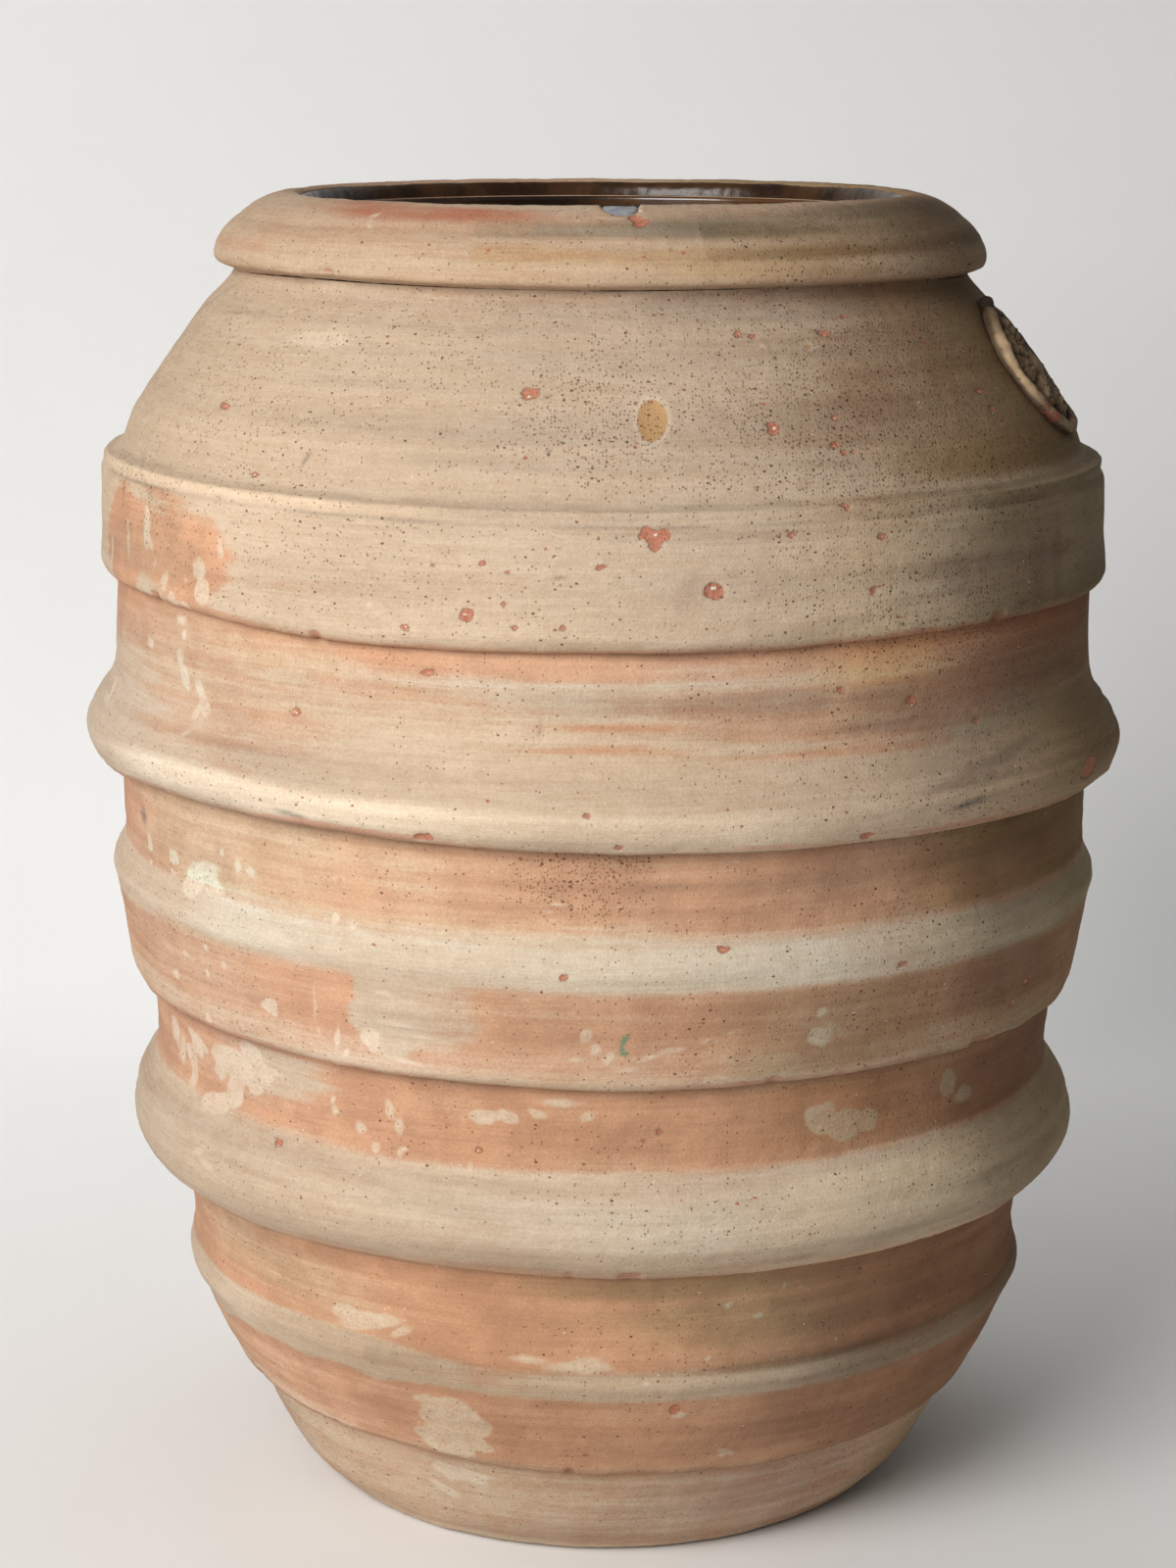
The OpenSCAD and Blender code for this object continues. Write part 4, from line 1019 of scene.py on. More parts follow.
pieces["shoulder_course"] = ring_piece("shoulder_wall", kb5, last["b5"], wall_pts(J5, 736, 5, -0.8),
                                       None, inner_pts(NECK, J5), 3)
pieces["rim_collar"] = ring_piece("rim_roll", first["lip"], last["lip"], None, None,
                                  [(202, 889), (202, 866), (206, 858), (214, 849.2), (232, 849.2)], 4)
pieces["band_1_flat"] = ring_piece("strap_1", first["b1"], kb1, None, None, wall_pts(180, 90, 4, 0.4), 5)
pieces["band_2_roll"] = ring_piece("roll_2", first["b2"], kb2, None, None, wall_pts(311, 237, 4, 0.4), 4)
pieces["band_3_flat"] = ring_piece("strap_3", first["b3"], kb3, None, None, wall_pts(465, 372, 4, 0.2), 4)
pieces["band_4_roll"] = ring_piece("roll_4", first["b4"], kb4, None, None, wall_pts(589, 522, 4, 0.2), 4)
pieces["band_5_flat"] = ring_piece("strap_5", first["b5"], kb5, None, None, wall_pts(739, 651, 5, -0.4), 4)

# ------------------------------------------------------------------ glaze lining
NI = 480
AI = np.arange(NI) / NI * TAU


def lining():
    zs = np.concatenate([np.linspace(31, 60, 12), np.linspace(66, 800, 110), np.linspace(806, 890, 34)])
    ri = np.interp(zs, np.concatenate([[31], INNER[1:, 0]]), np.concatenate([[189], INNER[1:, 1] - 1.0]))
    ri = np.convolve(np.concatenate([[ri[0]] * 2, ri, [ri[-1]] * 2]), [0.1, 0.2, 0.4, 0.2, 0.1], "valid")
    ri = np.convolve(np.concatenate([[ri[0]] * 4, ri, [ri[-1]] * 4]), np.ones(9) / 9, "valid")
    A_, Z_ = np.meshgrid(AI, zs)
    R_ = np.repeat(ri[:, None], NI, 1)
    g1 = sample(field(81, 500, 7), A_, Z_)
    g2 = sample(field(82, 60, 40), A_, Z_)
    g3 = sample(field(83, 10, 8), A_, Z_)
    fade = smooth(31, 60, Z_) * (1 - 0.6 * smooth(858, 872, Z_))
    R_ = R_ + fade * (0.5 * g1 + 0.5 * g2 + 0.15 * g3) - 0.6 * fade
    lift = np.array([np.interp(AI, AZ, row, period=TAU) for row in waver(zs)])
    flo_r = np.array([30.0, 80, 120, 150, 172, 182])
    F_A, F_R = np.meshgrid(AI, flo_r)
    fl = np.stack([F_R * np.cos(F_A), F_R * np.sin(F_A), np.full_like(F_R, 31.2)], -1)
    ins = np.stack([R_ * np.cos(A_), R_ * np.sin(A_), Z_ + lift * fade], -1)
    # the hidden outside of the skin, down and under
    zo = np.array([890, 866, 858, 848, 836, 816, 796, 758, 724, 690, 620, 545, 465, 405, 345, 290, 232, 178, 110, 75, 48, 36.0])
    ro = inside(zo)
    O_A, O_R = np.meshgrid(AI, ro)
    lo = np.array([np.interp(AI, AZ, row, period=TAU) for row in waver(zo)])
    out = np.stack([O_R * np.cos(O_A), O_R * np.sin(O_A), zo[:, None] + lo * (1 - 0.8 * smooth(60, 31, zo))[:, None]], -1)
    fo = np.array([190.0, 120, 30])
    G_A, G_R = np.meshgrid(AI, fo)
    und = np.stack([G_R * np.cos(G_A), G_R * np.sin(G_A), np.full_like(G_R, 30.05)], -1)
    P = np.concatenate([und[::-1], out[::-1], ins[::-1], fl[::-1]])
    dust = np.concatenate([np.zeros((len(und) + len(out), NI)), smooth(330, 40, Z_)[::-1] * (0.7 + 0.3 * g2[::-1]),
                           np.ones((len(fl), NI))])
    A = np.tile(PLAIN, (P.shape[0], NI, 1))
    A[..., 7] = dust
    w = np.concatenate([np.full(len(und) + len(out), 0.05), np.ones(len(zs) + len(fl))])
    return ring_solid("glaze_skin", P, A, w, 3, closed=False, cap_first=True, cap_last=True)


pieces["glaze_lining"] = lining()

# ------------------------------------------------------------------ medallion
MED_AZ = math.radians(-17.0)
MED_S0 = float(np.interp(791, RZ[first["b5"]:last["b5"] + 1][RZ[first["b5"]:last["b5"] + 1] > 745],
                         SS[first["b5"]:last["b5"] + 1][RZ[first["b5"]:last["b5"] + 1] > 745]))
_sel = np.arange(first["b5"], last["b5"] + 1)
_w = np.ones(len(_sel))
sh_S, sh_R, sh_Z = SS[_sel], RR[_sel], RZ[_sel]


def on_shoulder(a, b, h):
    """Points a mm across, b mm up the slope and h mm out from the shoulder."""
    s = MED_S0 + 1.2 + b
    r = np.interp(s, sh_S, sh_R)
    z = np.interp(s, sh_S, sh_Z)
    e = 3.0
    tr = (np.interp(s + e, sh_S, sh_R) - np.interp(s - e, sh_S, sh_R)) / (2 * e)
    tz = (np.interp(s + e, sh_S, sh_Z) - np.interp(s - e, sh_S, sh_Z)) / (2 * e)
    ln = np.hypot(tr, tz)
    nr, nz = tz / ln, -tr / ln
    az = MED_AZ + a / r
    j = (az % TAU) / TAU * N
    j0 = np.floor(j).astype(int) % N
    z2 = np.atleast_1d(z).ravel()
    i = np.clip(np.searchsorted(wz, z2) - 1, 0, len(wz) - 2)
    t = np.clip((z2 - wz[i]) / (wz[i + 1] - wz[i]), 0, 1)
    lift = (wtab[i, j0.ravel()] * (1 - t) + wtab[i + 1, j0.ravel()] * t).reshape(np.shape(z))
    ro = -0.8 * np.cos(az) * smooth(760, 880, z) + 0.9 * np.cos(2 * az + 0.6 + z / 260) + 0.5 * np.cos(3 * az - 1.1 + z / 190)
    rr = r + ro + h * nr
    return np.stack([rr * np.cos(az), rr * np.sin(az), z + lift + h * nz], -1)


def noise2(a, b, seed, ln):
    """Smooth noise on the medallion's own plane, about +-1, ln mm across."""
    rng = np.random.default_rng(seed)
    v = np.zeros(np.shape(a))
    for _ in range(14):
        th = rng.uniform(0, TAU)
        k = TAU / (ln * rng.uniform(1.2, 3.2))
        v = v + np.cos(k * (a * math.cos(th) + b * math.sin(th)) + rng.uniform(0, TAU))
    return v / 3.2


def disc_solid(name, ring_pts, top_fn, under, rings=26, seg=160, strips=1):
    """A closed oval pad: ring_pts(t) is its outline, top_fn(a, b, q) its height
    where q runs from 0 at the middle to 1 at the edge."""
    t = np.arange(seg) / seg * TAU
    ex, ey = ring_pts(t)
    q = np.linspace(0, 1, rings + 1)[1:]
    a = q[:, None] * ex[None, :]
    b = q[:, None] * ey[None, :]
    h = top_fn(a, b, np.repeat(q[:, None], seg, 1))
    top = on_shoulder(a, b, h)
    qb = np.array([1.0, 0.5, q[0]])
    ab, bb = qb[:, None] * ex[None, :], qb[:, None] * ey[None, :]
    bot = on_shoulder(ab, bb, np.full_like(ab, under))
    P = np.concatenate([bot[::-1], top[::-1]])
    A = np.tile(PLAIN, (P.shape[0], seg, 1))
    A[3:, :, 14] = h[::-1]
    w = np.concatenate([np.full(3, 0.2), np.ones(rings)])
    return P, A, w, name


def oval(w, h):
    return lambda t: (w / 2 * np.cos(t), h / 2 * np.sin(t))


def pad(name, outline, top_fn, under, rings=26, seg=160):
    P, A, w, nm = disc_solid(name, outline, top_fn, under, rings, seg)
    return ring_solid(nm, P, A, w, 1, closed=False, cap_first=True, cap_last=True)


MED_W, MED_H, ROLL = 110.0, 101.0, 4.1


def sink(a):
    """The plaque was pressed deeper into the wall on its far side."""
    return 1 - 0.72 * smooth(-30, 46, a)


def plaque_top(a, b, q):
    return 2.0 * sink(a) + (0.45 * noise2(a, b, 1, 12) + 0.35 * noise2(a, b, 2, 4.5)) * (0.4 + 0.6 * sink(a)) - 2.6 * smooth(0.95, 1.0, q) ** 2


pieces["medallion_plaque"] = pad("medallion_back", oval(MED_W - 2 * ROLL, MED_H - 2 * ROLL), plaque_top, -2.0, 44, 220)


def border():
    seg, sec = 300, 24
    t = np.arange(seg) / seg * TAU
    ew, eh = MED_W / 2 - ROLL, MED_H / 2 - ROLL
    cx, cy = ew * np.cos(t), eh * np.sin(t)
    nx, ny = np.cos(t) / ew, np.sin(t) / eh
    ln = np.hypot(nx, ny)
    nx, ny = nx / ln, ny / ln
    rng = np.random.default_rng(9)
    fat = 1 + sum(rng.uniform(-0.06, 0.06) * np.cos(n * t + rng.uniform(0, TAU)) for n in (2, 3, 5, 7, 9))
    dip = 1 - 0.42 * np.exp(-((t - 1.45) / 0.45) ** 2) - 0.12 * np.exp(-((t - 4.6) / 0.3) ** 2) + 0.7 * np.exp(-((t - 5.25) / 0.28) ** 2)
    tall = sink(cx) * dip
    ph = np.arange(sec) / sec * TAU
    P = np.zeros((sec, seg, 3))
    A = np.tile(PLAIN, (sec, seg, 1))
    cream = smooth(2.35, 2.8, t) * (1 - smooth(3.42, 3.68, t))
    for i, p in enumerate(ph):
        off = ROLL * fat * np.cos(p)
        up = (3.0 + 4.4 * fat * np.sin(p)) * tall + 1.7 * np.exp(-((t - 2.55) / 0.42) ** 2) * smooth(-0.8, 0.3, math.sin(p))
        up = np.maximum(up, -1.2)
        a = cx + nx * off
        b = cy + ny * off
        P[i] = on_shoulder(a, b, up + 0.16 * noise2(a, b, 3, 5))
        # the roll's lower outer side is given a low height, which the material paints dark as painted shade under the
        # roll
        low_side = smooth(0.25, -0.35, math.sin(p))
        A[i, :, 14] = up + 2.0 * np.sin(p) - 6.0 * low_side - 2.5 * smooth(2.5, 2.1, t) * (t < 3)
        A[i, :, 9] = cream * (1 - low_side) * np.clip(0.82 + 0.35 * noise2(a, b, 11, 6), 0, 1)
        rag = np.clip(0.8 + 0.55 * noise2(a, b, 12, 3.5), 0, 1.4)
        A[i, :, 10] = rag * (0.80 * np.exp(-((t - 3.76) / 0.075) ** 2) + 0.85 * np.exp(-((t - 3.97) / 0.10) ** 2)
                             + 0.62 * np.exp(-((t - 2.42) / 0.34) ** 2) * np.clip(0.75 - 0.45 * np.cos(p), 0, 1))
    return ring_solid("medallion_roll", P, A, np.ones(sec), 1, closed=True)


pieces["medallion_border"] = border()


def rosette_top(a, b, q):
    th = np.arctan2(b, a)
    rr = np.hypot(a, b)
    pet = np.abs(np.cos(4 * th))
    body = 3.4 * np.clip(pet, 0, 1) ** 0.8 * smooth(43, 31, rr) * smooth(6, 14, rr)
    rib = -1.3 * np.exp(-((np.abs(np.sin(4 * th)) * rr / 4) / 0.9) ** 2) * smooth(10, 20, rr) * (pet > 0.5)
    veins = 0.85 * np.cos(rr / 0.95 + 5 * np.abs(np.sin(4 * th))) * smooth(14, 20, rr) * smooth(42, 34, rr)
    e = 1 - 0.60 * smooth(-12, 44, a)
    return 1.0 + e * (1.4 + body + rib + veins + 0.5 * noise2(a, b, 4, 6) + 0.4 * noise2(a, b, 5, 2.8)) - 2.2 * smooth(0.95, 1.0, q)


def petal_outline(t):
    r = 28 + 12.0 * np.abs(np.cos(4 * t)) ** 0.7
    return 1.04 * r * np.cos(t), 0.97 * r * np.sin(t)


pieces["medallion_rosette"] = pad("medallion_leaves", petal_outline, rosette_top, 0.2, 60, 300)
pieces["medallion_boss"] = pad("medallion_button", oval(21, 21),
                               lambda a, b, q: 2.6 + 3.9 * np.sqrt(np.clip(1 - q**2, 0, 1)) + 0.4 * noise2(a, b, 6, 5), 0.6, 16, 64)


def knob():
    """The dark knob, built round its own centre."""
    seg, rings = 48, 14
    t = np.arange(seg) / seg * TAU
    q = np.linspace(0.05, 1, rings)
    a0, b0 = -9.6, 50.0
    rows = []
    for k in q:
        a, b = a0 + 5.4 * k * np.cos(t), b0 + 5.0 * k * np.sin(t)
        rows.append(on_shoulder(a, b, 3.0 + 5.6 * math.sqrt(max(0, 1 - k * k)) + 0.35 * noise2(a, b, 8, 4)))
    base = [on_shoulder(a0 + 5.2 * k * np.cos(t), b0 + 4.8 * k * np.sin(t), np.full(seg, -0.6)) for k in (1.0, 0.4)]
    P = np.array(base[::-1] + rows[::-1])
    A = np.tile(PLAIN, (len(P), seg, 1))
    return ring_solid("medallion_knob", P, A, np.ones(len(P)), 1, closed=False, cap_first=True, cap_last=True)


pieces["medallion_nub"] = knob()


# ------------------------------------------------------------------ the plug in the rim
def plug():
    az0, r0 = CHIP_AZ, CHIP_R
    seg, rings = 96, 14
    t = np.arange(seg) / seg * TAU

    def put(a, b, h):
        s = SS[k219] + b
        r = np.interp(s, SS[lip_rows], RR[lip_rows])
        z = np.interp(s, SS[lip_rows], RZ[lip_rows])
        nr = np.interp(s, SS[lip_rows], NR[lip_rows])
        nz = np.interp(s, SS[lip_rows], NZ[lip_rows])
        az = az0 + a / r
        rr = r + h * nr
        return np.stack([rr * np.cos(az), rr * np.sin(az), np.minimum(z + h * nz, 902.8)], -1)

    co, si = np.cos(t), np.sin(t)
    far = (np.abs(co) ** 6 + np.abs(si) ** 6) ** (-1 / 6)
    ex = 11.0 * np.where(si > 0, far, 1.0) * co
    ey = np.where(si > 0, 16.5 * far * si, 13.6 * si)
    rows = [put(ex * k, ey * k, -0.5 - 1.0 * smooth(0.84, 1.0, k) + 0.10 * np.cos(ex * k / 2.3 + ey * k / 3.1))
            for k in np.linspace(0.04, 1, rings)]
    base = [put(ex * k * 0.97, ey * k * 0.97, np.full(seg, -4.6)) for k in (1.0, 0.4)]
    P = np.array(base[::-1] + rows[::-1])
    A = np.tile(PLAIN, (len(P), seg, 1))
    return ring_solid("rim_plug", P, A, np.ones(len(P)), 1, closed=False, cap_first=True, cap_last=True)


pieces["rim_chip_fill"] = plug()


# ------------------------------------------------------------------ materials
class Nodes:
    """Small helper to write a node graph as expressions."""

    def __init__(self, mat):
        mat.use_nodes = True
        self.t = mat.node_tree
        self.t.nodes.clear()
        self.out = self.t.nodes.new("ShaderNodeOutputMaterial")
        self.bsdf = self.t.nodes.new("ShaderNodeBsdfPrincipled")
        self.t.links.new(self.bsdf.outputs[0], self.out.inputs[0])
        self.pos = self.t.nodes.new("ShaderNodeTexCoord").outputs["Object"]

    def link(self, a, b):
        self.t.links.new(a, b)

    def put(self, sock, v):
        if isinstance(v, bpy.types.NodeSocket):
            self.t.links.new(v, sock)
        elif isinstance(v, (tuple, list, np.ndarray)):
            v = [float(x) for x in v]
            sock.default_value = v + [1.0] if len(v) == 3 and len(sock.default_value) == 4 else v
        else:
            sock.default_value = v

    def math(self, op, a, b=0.0, c=0.0, clamp=False):
        n = self.t.nodes.new("ShaderNodeMath")
        n.operation = op
        n.use_clamp = clamp
        for s, v in zip(n.inputs, (a, b, c)):
            self.put(s, v)
        return n.outputs[0]

    def add(self, a, b):
        return self.math("ADD", a, b)

    def mul(self, a, b):
        return self.math("MULTIPLY", a, b)

    def mad(self, a, k, c):
        return self.math("MULTIPLY_ADD", a, k, c)

    def step(self, v, lo, hi):
        n = self.t.nodes.new("ShaderNodeMapRange")
        n.interpolation_type = "SMOOTHSTEP"
        self.put(n.inputs["Value"], v)
        n.inputs["From Min"].default_value = lo
        n.inputs["From Max"].default_value = hi
        return n.outputs[0]

    def mix(self, f, a, b, mode="MIX"):
        n = self.t.nodes.new("ShaderNodeMix")
        n.data_type = "RGBA"
        n.blend_type = mode
        n.clamp_factor = True
        self.put(n.inputs[0], f)
        self.put(n.inputs[6], a)
        self.put(n.inputs[7], b)
        return n.outputs[2]

    def attr(self, name):
        n = self.t.nodes.new("ShaderNodeAttribute")
        n.attribute_name = name
        sp = self.t.nodes.new("ShaderNodeSeparateColor")
        self.link(n.outputs["Color"], sp.inputs[0])
        return sp.outputs[0], sp.outputs[1], sp.outputs[2], n.outputs["Alpha"], n.outputs["Color"]

    def stretch(self, sx, sy, sz):
        n = self.t.nodes.new("ShaderNodeVectorMath")
        n.operation = "MULTIPLY"
        self.link(self.pos, n.inputs[0])
        n.inputs[1].default_value = (sx, sy, sz)
        return n.outputs[0]

    def noise(self, vec, scale=1.0, detail=2.0, rough=0.5, dist=0.0, seed=0.0):
        n = self.t.nodes.new("ShaderNodeTexNoise")
        n.noise_dimensions = "4D"
        self.link(vec, n.inputs["Vector"])
        n.inputs["W"].default_value = seed
        n.inputs["Scale"].default_value = scale
        n.inputs["Detail"].default_value = detail
        n.inputs["Roughness"].default_value = rough
        n.inputs["Distortion"].default_value = dist
        return n.outputs["Fac"]

    def voronoi(self, scale, rand=1.0, vec=None):
        n = self.t.nodes.new("ShaderNodeTexVoronoi")
        self.link(self.pos if vec is None else vec, n.inputs["Vector"])
        n.inputs["Scale"].default_value = scale
        n.inputs["Randomness"].default_value = rand
        sp = self.t.nodes.new("ShaderNodeSeparateColor")
        self.link(n.outputs["Color"], sp.inputs[0])
        return n.outputs["Distance"], sp.outputs[0], sp.outputs[1]

    def bump(self, height, strength, dist, prev=None):
        n = self.t.nodes.new("ShaderNodeBump")
        n.inputs["Strength"].default_value = strength
        n.inputs["Distance"].default_value = dist
        self.link(height, n.inputs["Height"])
        if prev is not None:
            self.link(prev, n.inputs["Normal"])
        return n.outputs[0]


C_BLOOM = lin((213, 190, 165))
C_BLOOM2 = lin((203, 178, 151))
C_ORANGE = lin((218, 167, 132))
C_ORANGE2 = lin((198, 150, 118))
C_PALE = lin((228, 207, 182))
C_PINK = lin((192, 122, 92))
C_GREY = lin((140, 126, 106))
C_RUB = lin((196, 132, 104))
C_POP = lin((176, 100, 76))
C_CORE = lin((238, 226, 208))
C_DIRT_AND_SHADE = lin((84, 66, 48))
C_OCHRE = lin((204, 158, 102))


def terracotta(name):
    m = bpy.data.materials.new(name)
    g = Nodes(m)
    tr, tg, tb, b_at, tcol = g.attr("c1")
    pale, popd, core, spk_, _ = g.attr("c2")
    pk, gy, wr, gl, _ = g.attr("c3")
    thm, grn, hgt, stn, _ = g.attr("c4")

    streak = g.noise(g.stretch(9, 9, 210), 1.0, 4.0, 0.6, 0.35, 1.0)
    brush = g.noise(g.stretch(40, 40, 760), 1.0, 3.0, 0.6, 0.4, 2.0)
    blot = g.noise(g.pos, 26.0, 5.0, 0.62, 0.3, 3.0)
    mott = g.noise(g.pos, 90.0, 4.0, 0.62, 0.0, 4.0)
    grain = g.noise(g.pos, 520.0, 3.0, 0.65, 0.0, 5.0)
    fine = g.noise(g.pos, 1500.0, 2.0, 0.5, 0.0, 6.0)

    b = g.add(b_at, g.mul(g.add(streak, -0.5), 0.40))
    b = g.add(b, g.mul(g.add(brush, -0.5), 0.20))
    b = g.add(b, g.mul(g.add(blot, -0.5), 0.26))
    b = g.add(b, g.mul(g.add(mott, -0.5), 0.20))
    b = g.add(b, g.mul(g.add(grain, -0.5), 0.32))
    msk = g.step(b, 0.16, 0.76)

    under = g.mix(g.step(g.add(blot, g.mul(g.add(streak, -0.5), 0.6)), 0.32, 0.68), C_ORANGE2, C_ORANGE)
    over = g.mix(g.step(g.add(g.add(mott, g.mul(g.add(streak, -0.5), 1.2)), g.mul(g.add(brush, -0.5), 0.9)), 0.2, 0.8), C_BLOOM2, C_BLOOM)
    col = g.mix(msk, under, over)
    col = g.mix(g.mul(pk, g.mad(g.step(g.add(blot, g.mul(g.add(streak, -0.5), 0.8)), 0.25, 0.6), 0.5, 0.42)), col, C_PINK)
    wm = g.step(g.add(wr, g.add(g.mul(g.add(mott, -0.5), 1.3), g.mul(g.add(grain, -0.5), 0.6))), 0.52, 0.86)
    col = g.mix(g.mul(wm, 0.60), col, C_RUB)

    # pale splashes and crusts
    pd = g.add(pale, g.mul(g.add(mott, -0.5), 7.5))
    pd = g.add(pd, g.mul(g.add(grain, -0.5), 4.0))
    pm = g.step(pd, 0.8, -1.4)
    pm = g.mul(pm, g.math("ADD", 0.52, g.mul(g.step(g.add(mott, g.mul(g.add(grain, -0.5), 0.6)), 0.3, 0.62), 0.36)))
    col = g.mix(pm, col, C_PALE)

    # thumb oval: ochre in a pale halo
    td = g.add(thm, g.mul(g.add(mott, -0.5), 1.6))
    th_in = g.step(td, 0.4, -0.8)
    th_halo = g.mul(g.step(td, 3.4, 1.0), g.step(td, -0.4, 0.5))
    col = g.mix(g.mul(th_in, 0.80), col, C_OCHRE)
    col = g.mix(g.mul(th_halo, 0.7), col, C_PALE)

    # tone from the surface, which carries stains and painted shade, grain and fine lines
    col = g.mix(1.0, col, tcol, "MULTIPLY")
    gcol = g.t.nodes.new("ShaderNodeCombineColor")
    gv = g.add(g.mul(g.add(grain, -0.5), 0.56), g.add(g.mul(g.add(brush, -0.5), 0.12), g.add(g.mul(g.add(fine, -0.5), 0.26), 1.0)))
    for i in range(3):
        g.link(gv, gcol.inputs[i])
    col = g.mix(1.0, col, gcol.outputs[0], "MULTIPLY")

    # dark speckles and pin holes, and a few white specks
    wob = g.mul(g.add(grain, -0.5), 0.30)
    d1, r1, q1 = g.voronoi(330.0, 1.0, g.stretch(0.70, 0.70, 1.0))
    dot1 = g.mul(g.step(g.add(d1, wob), 0.31, 0.15), g.math("LESS_THAN", r1, g.mul(spk_, 0.25)))
    d2, r2, q2 = g.voronoi(105.0, 1.0, g.stretch(0.8, 0.8, 1.0))
    dot2 = g.mul(g.step(g.add(d2, wob), 0.12, 0.07), g.math("LESS_THAN", r2, g.mul(spk_, 0.10)))
    d3, r3, q3 = g.voronoi(480.0)
    dot3 = g.mul(g.step(g.add(d3, wob), 0.40, 0.20), g.math("LESS_THAN", r3, g.mad(spk_, 0.50, 0.03)))
    dots = g.math("MAXIMUM", g.math("MAXIMUM", dot1, dot2), g.mul(dot3, 0.7))
    col = g.mix(g.mul(dots, 0.80), col, g.mix(g.math("GREATER_THAN", q1, 0.66), lin((82, 52, 31)), lin((150, 82, 55))))
    rust = g.mul(g.mul(g.step(g.add(d2, wob), 0.15, 0.09), g.math("GREATER_THAN", r2, 0.975)), 0.8)
    col = g.mix(rust, col, C_POP)
    white = g.mul(g.step(g.add(d1, wob), 0.22, 0.12), g.math("GREATER_THAN", r1, 0.990))
    col = g.mix(g.mul(white, 0.8), col, C_CORE)

    # lime pop-outs
    pp = g.add(popd, g.add(g.mul(g.add(mott, -0.5), 4.0), g.mul(g.add(grain, -0.5), 2.6)))
    pm2 = g.step(pp, 0.25, -0.35)
    col = g.mix(g.mul(pm2, 0.92), col, g.mix(g.step(grain, 0.3, 0.7), C_POP, lin((206, 140, 110))))
    # painted shadow round the rim of each pop-out crater
    pop_rim_shadow = g.mul(g.step(pp, 0.9, 0.2), g.step(pp, -0.5, 0.2))
    col = g.mix(g.mul(pop_rim_shadow, 0.30), col, C_DIRT_AND_SHADE)
    cm = g.step(g.add(core, g.mul(g.add(grain, -0.5), 1.6)), 0.2, -0.4)
    col = g.mix(cm, col, C_CORE)
    col = g.mix(g.mul(g.step(g.add(grn, g.mul(g.add(grain, -0.5), 4.0)), 0.6, -0.6), 0.7), col, lin((90, 140, 108)))

    # glaze over the inner edge of the rim
    gm = g.step(g.add(gl, g.mul(g.add(blot, -0.5), 1.2)), 0.5, -0.5)
    gcol2 = g.mix(g.step(blot, 0.3, 0.7), lin((42, 26, 15)), lin((80, 53, 30)))
    col = g.mix(gm, col, gcol2)

    g.link(col, g.bsdf.inputs["Base Color"])
    rough = g.mad(grain, 0.14, 0.80)
    rough = g.math("SUBTRACT", rough, g.mul(gm, 0.62))
    g.link(rough, g.bsdf.inputs["Roughness"])
    g.bsdf.inputs["Specular IOR Level"].default_value = 0.32

    h = g.add(g.mul(grain, 0.80), g.mul(fine, 0.36))
    h = g.add(h, g.mul(brush, 0.30))
    h = g.add(h, g.mul(streak, 0.42))
    h = g.add(h, g.mul(mott, 0.34))
    h = g.add(h, g.mul(dots, -0.9))
    h = g.add(h, g.mul(pm2, -0.9))
    h = g.add(h, g.mul(pm, 0.25))
    h = g.add(h, g.mul(wm, -0.3))
    h = g.mul(h, g.math("SUBTRACT", 1.0, g.mul(gm, 0.85)))
    g.link(g.bump(h, 0.60, 0.0011), g.bsdf.inputs["Normal"])
    return m


def glaze_mat():
    m = bpy.data.materials.new("brown_glaze")
    g = Nodes(m)
    _, _, _, dust, _ = g.attr("c2")
    a = g.noise(g.stretch(14, 14, 40), 1.0, 5.0, 0.6, 0.6, 1.0)
    b = g.noise(g.stretch(4, 4, 120), 1.0, 3.0, 0.5, 0.0, 2.0)
    c = g.noise(g.pos, 160.0, 3.0, 0.6, 0.0, 3.0)
    sp = g.t.nodes.new("ShaderNodeSeparateXYZ")
    g.link(g.pos, sp.inputs[0])
    gold = g.step(g.add(sp.outputs[0], g.mul(g.add(a, -0.5), 0.25)), -0.03, 0.13)
    col = g.mix(g.step(a, 0.38, 0.68), lin((30, 18, 10)), lin((64, 38, 18)))
    col = g.mix(g.mul(gold, g.mad(g.step(b, 0.4, 0.7), 0.45, 0.22)), col, lin((126, 84, 40)))
    dm = g.step(g.add(dust, g.mul(g.add(c, -0.5), 0.8)), 0.35, 1.05)
    col = g.mix(g.mul(dm, 0.8), col, lin((150, 128, 100)))
    g.link(col, g.bsdf.inputs["Base Color"])
    g.link(g.add(g.mul(dm, 0.6), g.mad(c, 0.22, 0.14)), g.bsdf.inputs["Roughness"])
    g.bsdf.inputs["Specular IOR Level"].default_value = 0.6
    g.bsdf.inputs["Coat Weight"].default_value = 0.35
    g.bsdf.inputs["Coat Roughness"].default_value = 0.08
    g.link(g.bump(g.add(g.mul(b, 0.6), g.mul(c, 0.15)), 0.35, 0.0012), g.bsdf.inputs["Normal"])
    return m


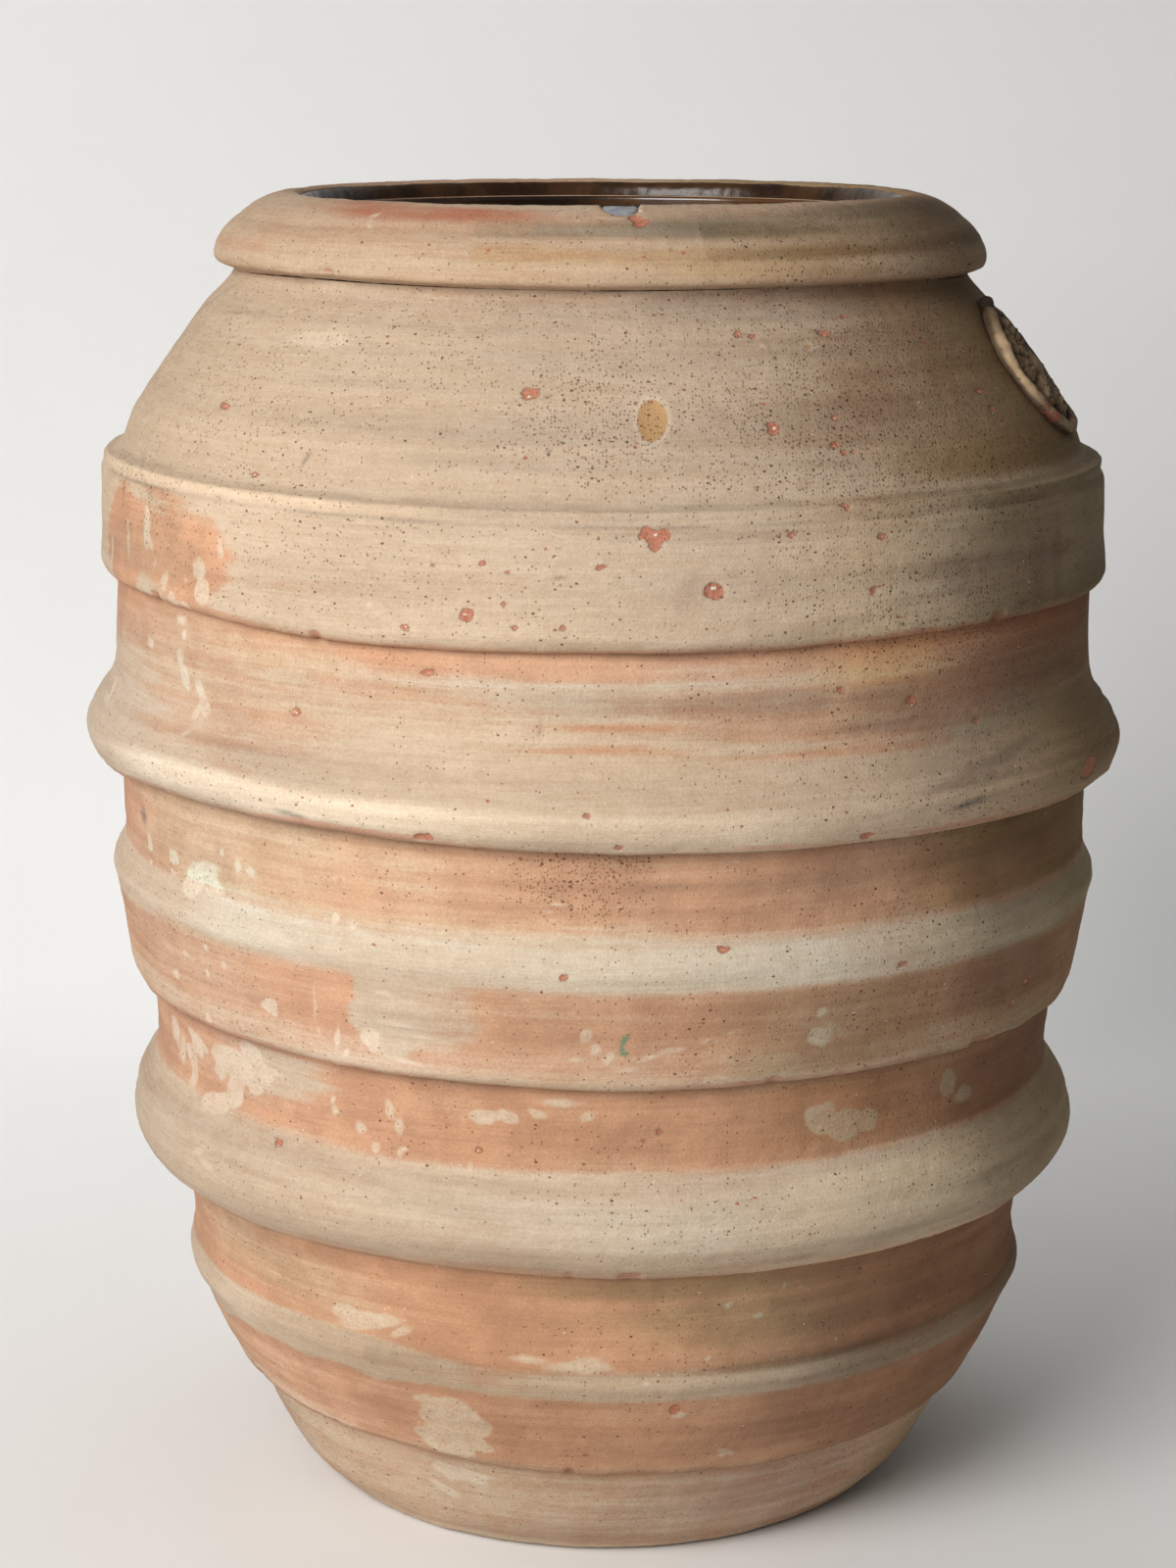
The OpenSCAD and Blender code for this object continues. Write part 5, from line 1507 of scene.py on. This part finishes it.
def medallion_mat(name, dark=0.0):
    m = bpy.data.materials.new(name)
    g = Nodes(m)
    _, cream, wr, _, _ = g.attr("c3")
    _, _, hgt, _, _ = g.attr("c4")
    blot = g.noise(g.pos, 60.0, 5.0, 0.65, 0.4, 1.0)
    mott = g.noise(g.pos, 190.0, 4.0, 0.6, 0.0, 2.0)
    grain = g.noise(g.pos, 700.0, 3.0, 0.6, 0.0, 3.0)
    col = g.mix(g.step(blot, 0.35, 0.65), lin((132, 108, 82)), lin((176, 148, 116)))
    # painted shade: the low and undercut parts of the relief go dark brown
    hi = g.step(g.add(hgt, g.mul(g.add(mott, -0.5), 4.0)), 1.0, 7.5)
    col = g.mix(g.mul(g.math("SUBTRACT", 1.0, hi), 0.80), col, lin((80, 62, 46)))
    col = g.mix(g.mul(cream, 0.75), col, lin((214, 184, 146)))
    rub = g.step(g.add(wr, g.add(g.mul(g.add(mott, -0.5), 1.1), g.mul(g.add(grain, -0.5), 0.8))), 0.42, 0.62)
    col = g.mix(g.mul(rub, 0.85), col, lin((168, 90, 72)))
    if dark:
        col = g.mix(dark, col, lin((52, 44, 34)))
    d1, r1, q1 = g.voronoi(260.0)
    dots = g.mul(g.step(d1, 0.3, 0.14), g.math("LESS_THAN", r1, 0.16))
    col = g.mix(g.mul(dots, 0.6), col, C_DIRT_AND_SHADE)
    g.link(col, g.bsdf.inputs["Base Color"])
    g.link(g.mad(grain, 0.12, 0.82), g.bsdf.inputs["Roughness"])
    g.bsdf.inputs["Specular IOR Level"].default_value = 0.3
    h = g.add(g.mul(mott, 0.8), g.add(g.mul(grain, 0.4), g.mul(dots, -0.8)))
    g.link(g.bump(h, 0.7, 0.0013), g.bsdf.inputs["Normal"])
    return m


def plug_mat():
    m = bpy.data.materials.new("grey_mortar")
    g = Nodes(m)
    a = g.noise(g.pos, 120.0, 4.0, 0.6, 0.0, 1.0)
    b = g.noise(g.pos, 900.0, 2.0, 0.5, 0.0, 2.0)
    col = g.mix(g.step(a, 0.3, 0.7), lin((128, 132, 138)), lin((172, 174, 178)))
    g.link(col, g.bsdf.inputs["Base Color"])
    g.link(g.mad(b, 0.2, 0.42), g.bsdf.inputs["Roughness"])
    g.bsdf.inputs["Specular IOR Level"].default_value = 0.5
    g.link(g.bump(g.add(a, g.mul(b, 0.3)), 0.4, 0.0008), g.bsdf.inputs["Normal"])
    return m


M_CLAY = terracotta("weathered_terracotta")
M_GLAZE = glaze_mat()
M_MED = medallion_mat("medallion_terracotta")
M_KNOB = medallion_mat("knob_terracotta", 0.7)
M_PLUG = plug_mat()

for node, ob in pieces.items():
    if node == "glaze_lining":
        mat = M_GLAZE
    elif node == "medallion_nub":
        mat = M_KNOB
    elif node.startswith("medallion"):
        mat = M_MED
    elif node == "rim_chip_fill":
        mat = M_PLUG
    else:
        mat = M_CLAY
    ob.data.materials.append(mat)
    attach(ob, "root")
    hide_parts(node)

# ------------------------------------------------------------------ floor, backdrop, light
def stage_mat(name, colour):
    m = bpy.data.materials.new(name)
    g = Nodes(m)
    a = g.noise(g.pos, 3.0, 3.0, 0.5, 0.0, 1.0)
    col = g.mix(a, [c * 0.97 for c in colour], [min(1, c * 1.03) for c in colour])
    g.link(col, g.bsdf.inputs["Base Color"])
    g.bsdf.inputs["Roughness"].default_value = 0.95
    g.bsdf.inputs["Specular IOR Level"].default_value = 0.1
    return m


def sweep():
    """Floor and backdrop as one curved sheet."""
    y0, y1, rad, top = -6.0, 1.55, 0.7, 5.0
    prof = [(y0, 0.0), (-2.0, 0.0), (0.0, 0.0), (y1 - rad, 0.0)]
    for i in range(1, 17):
        t = i / 16 * math.pi / 2
        prof.append((y1 - rad + rad * math.sin(t), rad - rad * math.cos(t)))
    prof += [(y1, 2.0), (y1, top)]
    xs = np.linspace(-6, 6, 13)
    v = [(x, y, z - 0.0004) for (y, z) in prof for x in xs]
    n = len(xs)
    f = np.array([[i * n + j, i * n + j + 1, (i + 1) * n + j + 1, (i + 1) * n + j]
                  for i in range(len(prof) - 1) for j in range(n - 1)])
    ob = make_mesh("backdrop", np.array(v), [f])
    ob.data.materials.append(stage_mat("off_white_paper", (0.82, 0.815, 0.805)))
    return ob


sweep()


def area(name, az, elev, dist, size, power, colour, target=(0, 0, 0.5)):
    ld = bpy.data.lights.new(name, "AREA")
    ld.shape = "RECTANGLE"
    ld.size, ld.size_y = size
    ld.energy = power
    ld.color = colour
    ob = bpy.data.objects.new(name, ld)
    a, e = math.radians(az), math.radians(elev)
    t = Vector(target)
    ob.location = t + Vector((math.cos(a) * math.cos(e), math.sin(a) * math.cos(e), math.sin(e))) * dist
    ob.rotation_euler = (t - ob.location).to_track_quat("-Z", "Y").to_euler()
    bpy.context.scene.collection.objects.link(ob)
    return ob


area("key", -123, 27, 3.3, (2.0, 1.7), 123, (1.0, 0.985, 0.965))
wash = area("backdrop_wash", 90, 90, 2.4, (2.6, 0.4), 3.9, (0.97, 0.985, 1.0))
wash.location = (-0.22, 0.78, 2.4)
wash.rotation_euler = (Vector((-0.22, 1.06, 0.0)) - wash.location).to_track_quat("-Z", "Y").to_euler()
wash.data.spread = math.radians(64)

world = bpy.data.worlds.new("studio")
world.use_nodes = True
world.node_tree.nodes["Background"].inputs[0].default_value = (0.95, 0.97, 1.0, 1)
world.node_tree.nodes["Background"].inputs[1].default_value = 0.13
bpy.context.scene.world = world
bpy.context.scene.view_settings.view_transform = "Standard"
bpy.context.scene.view_settings.look = "None"
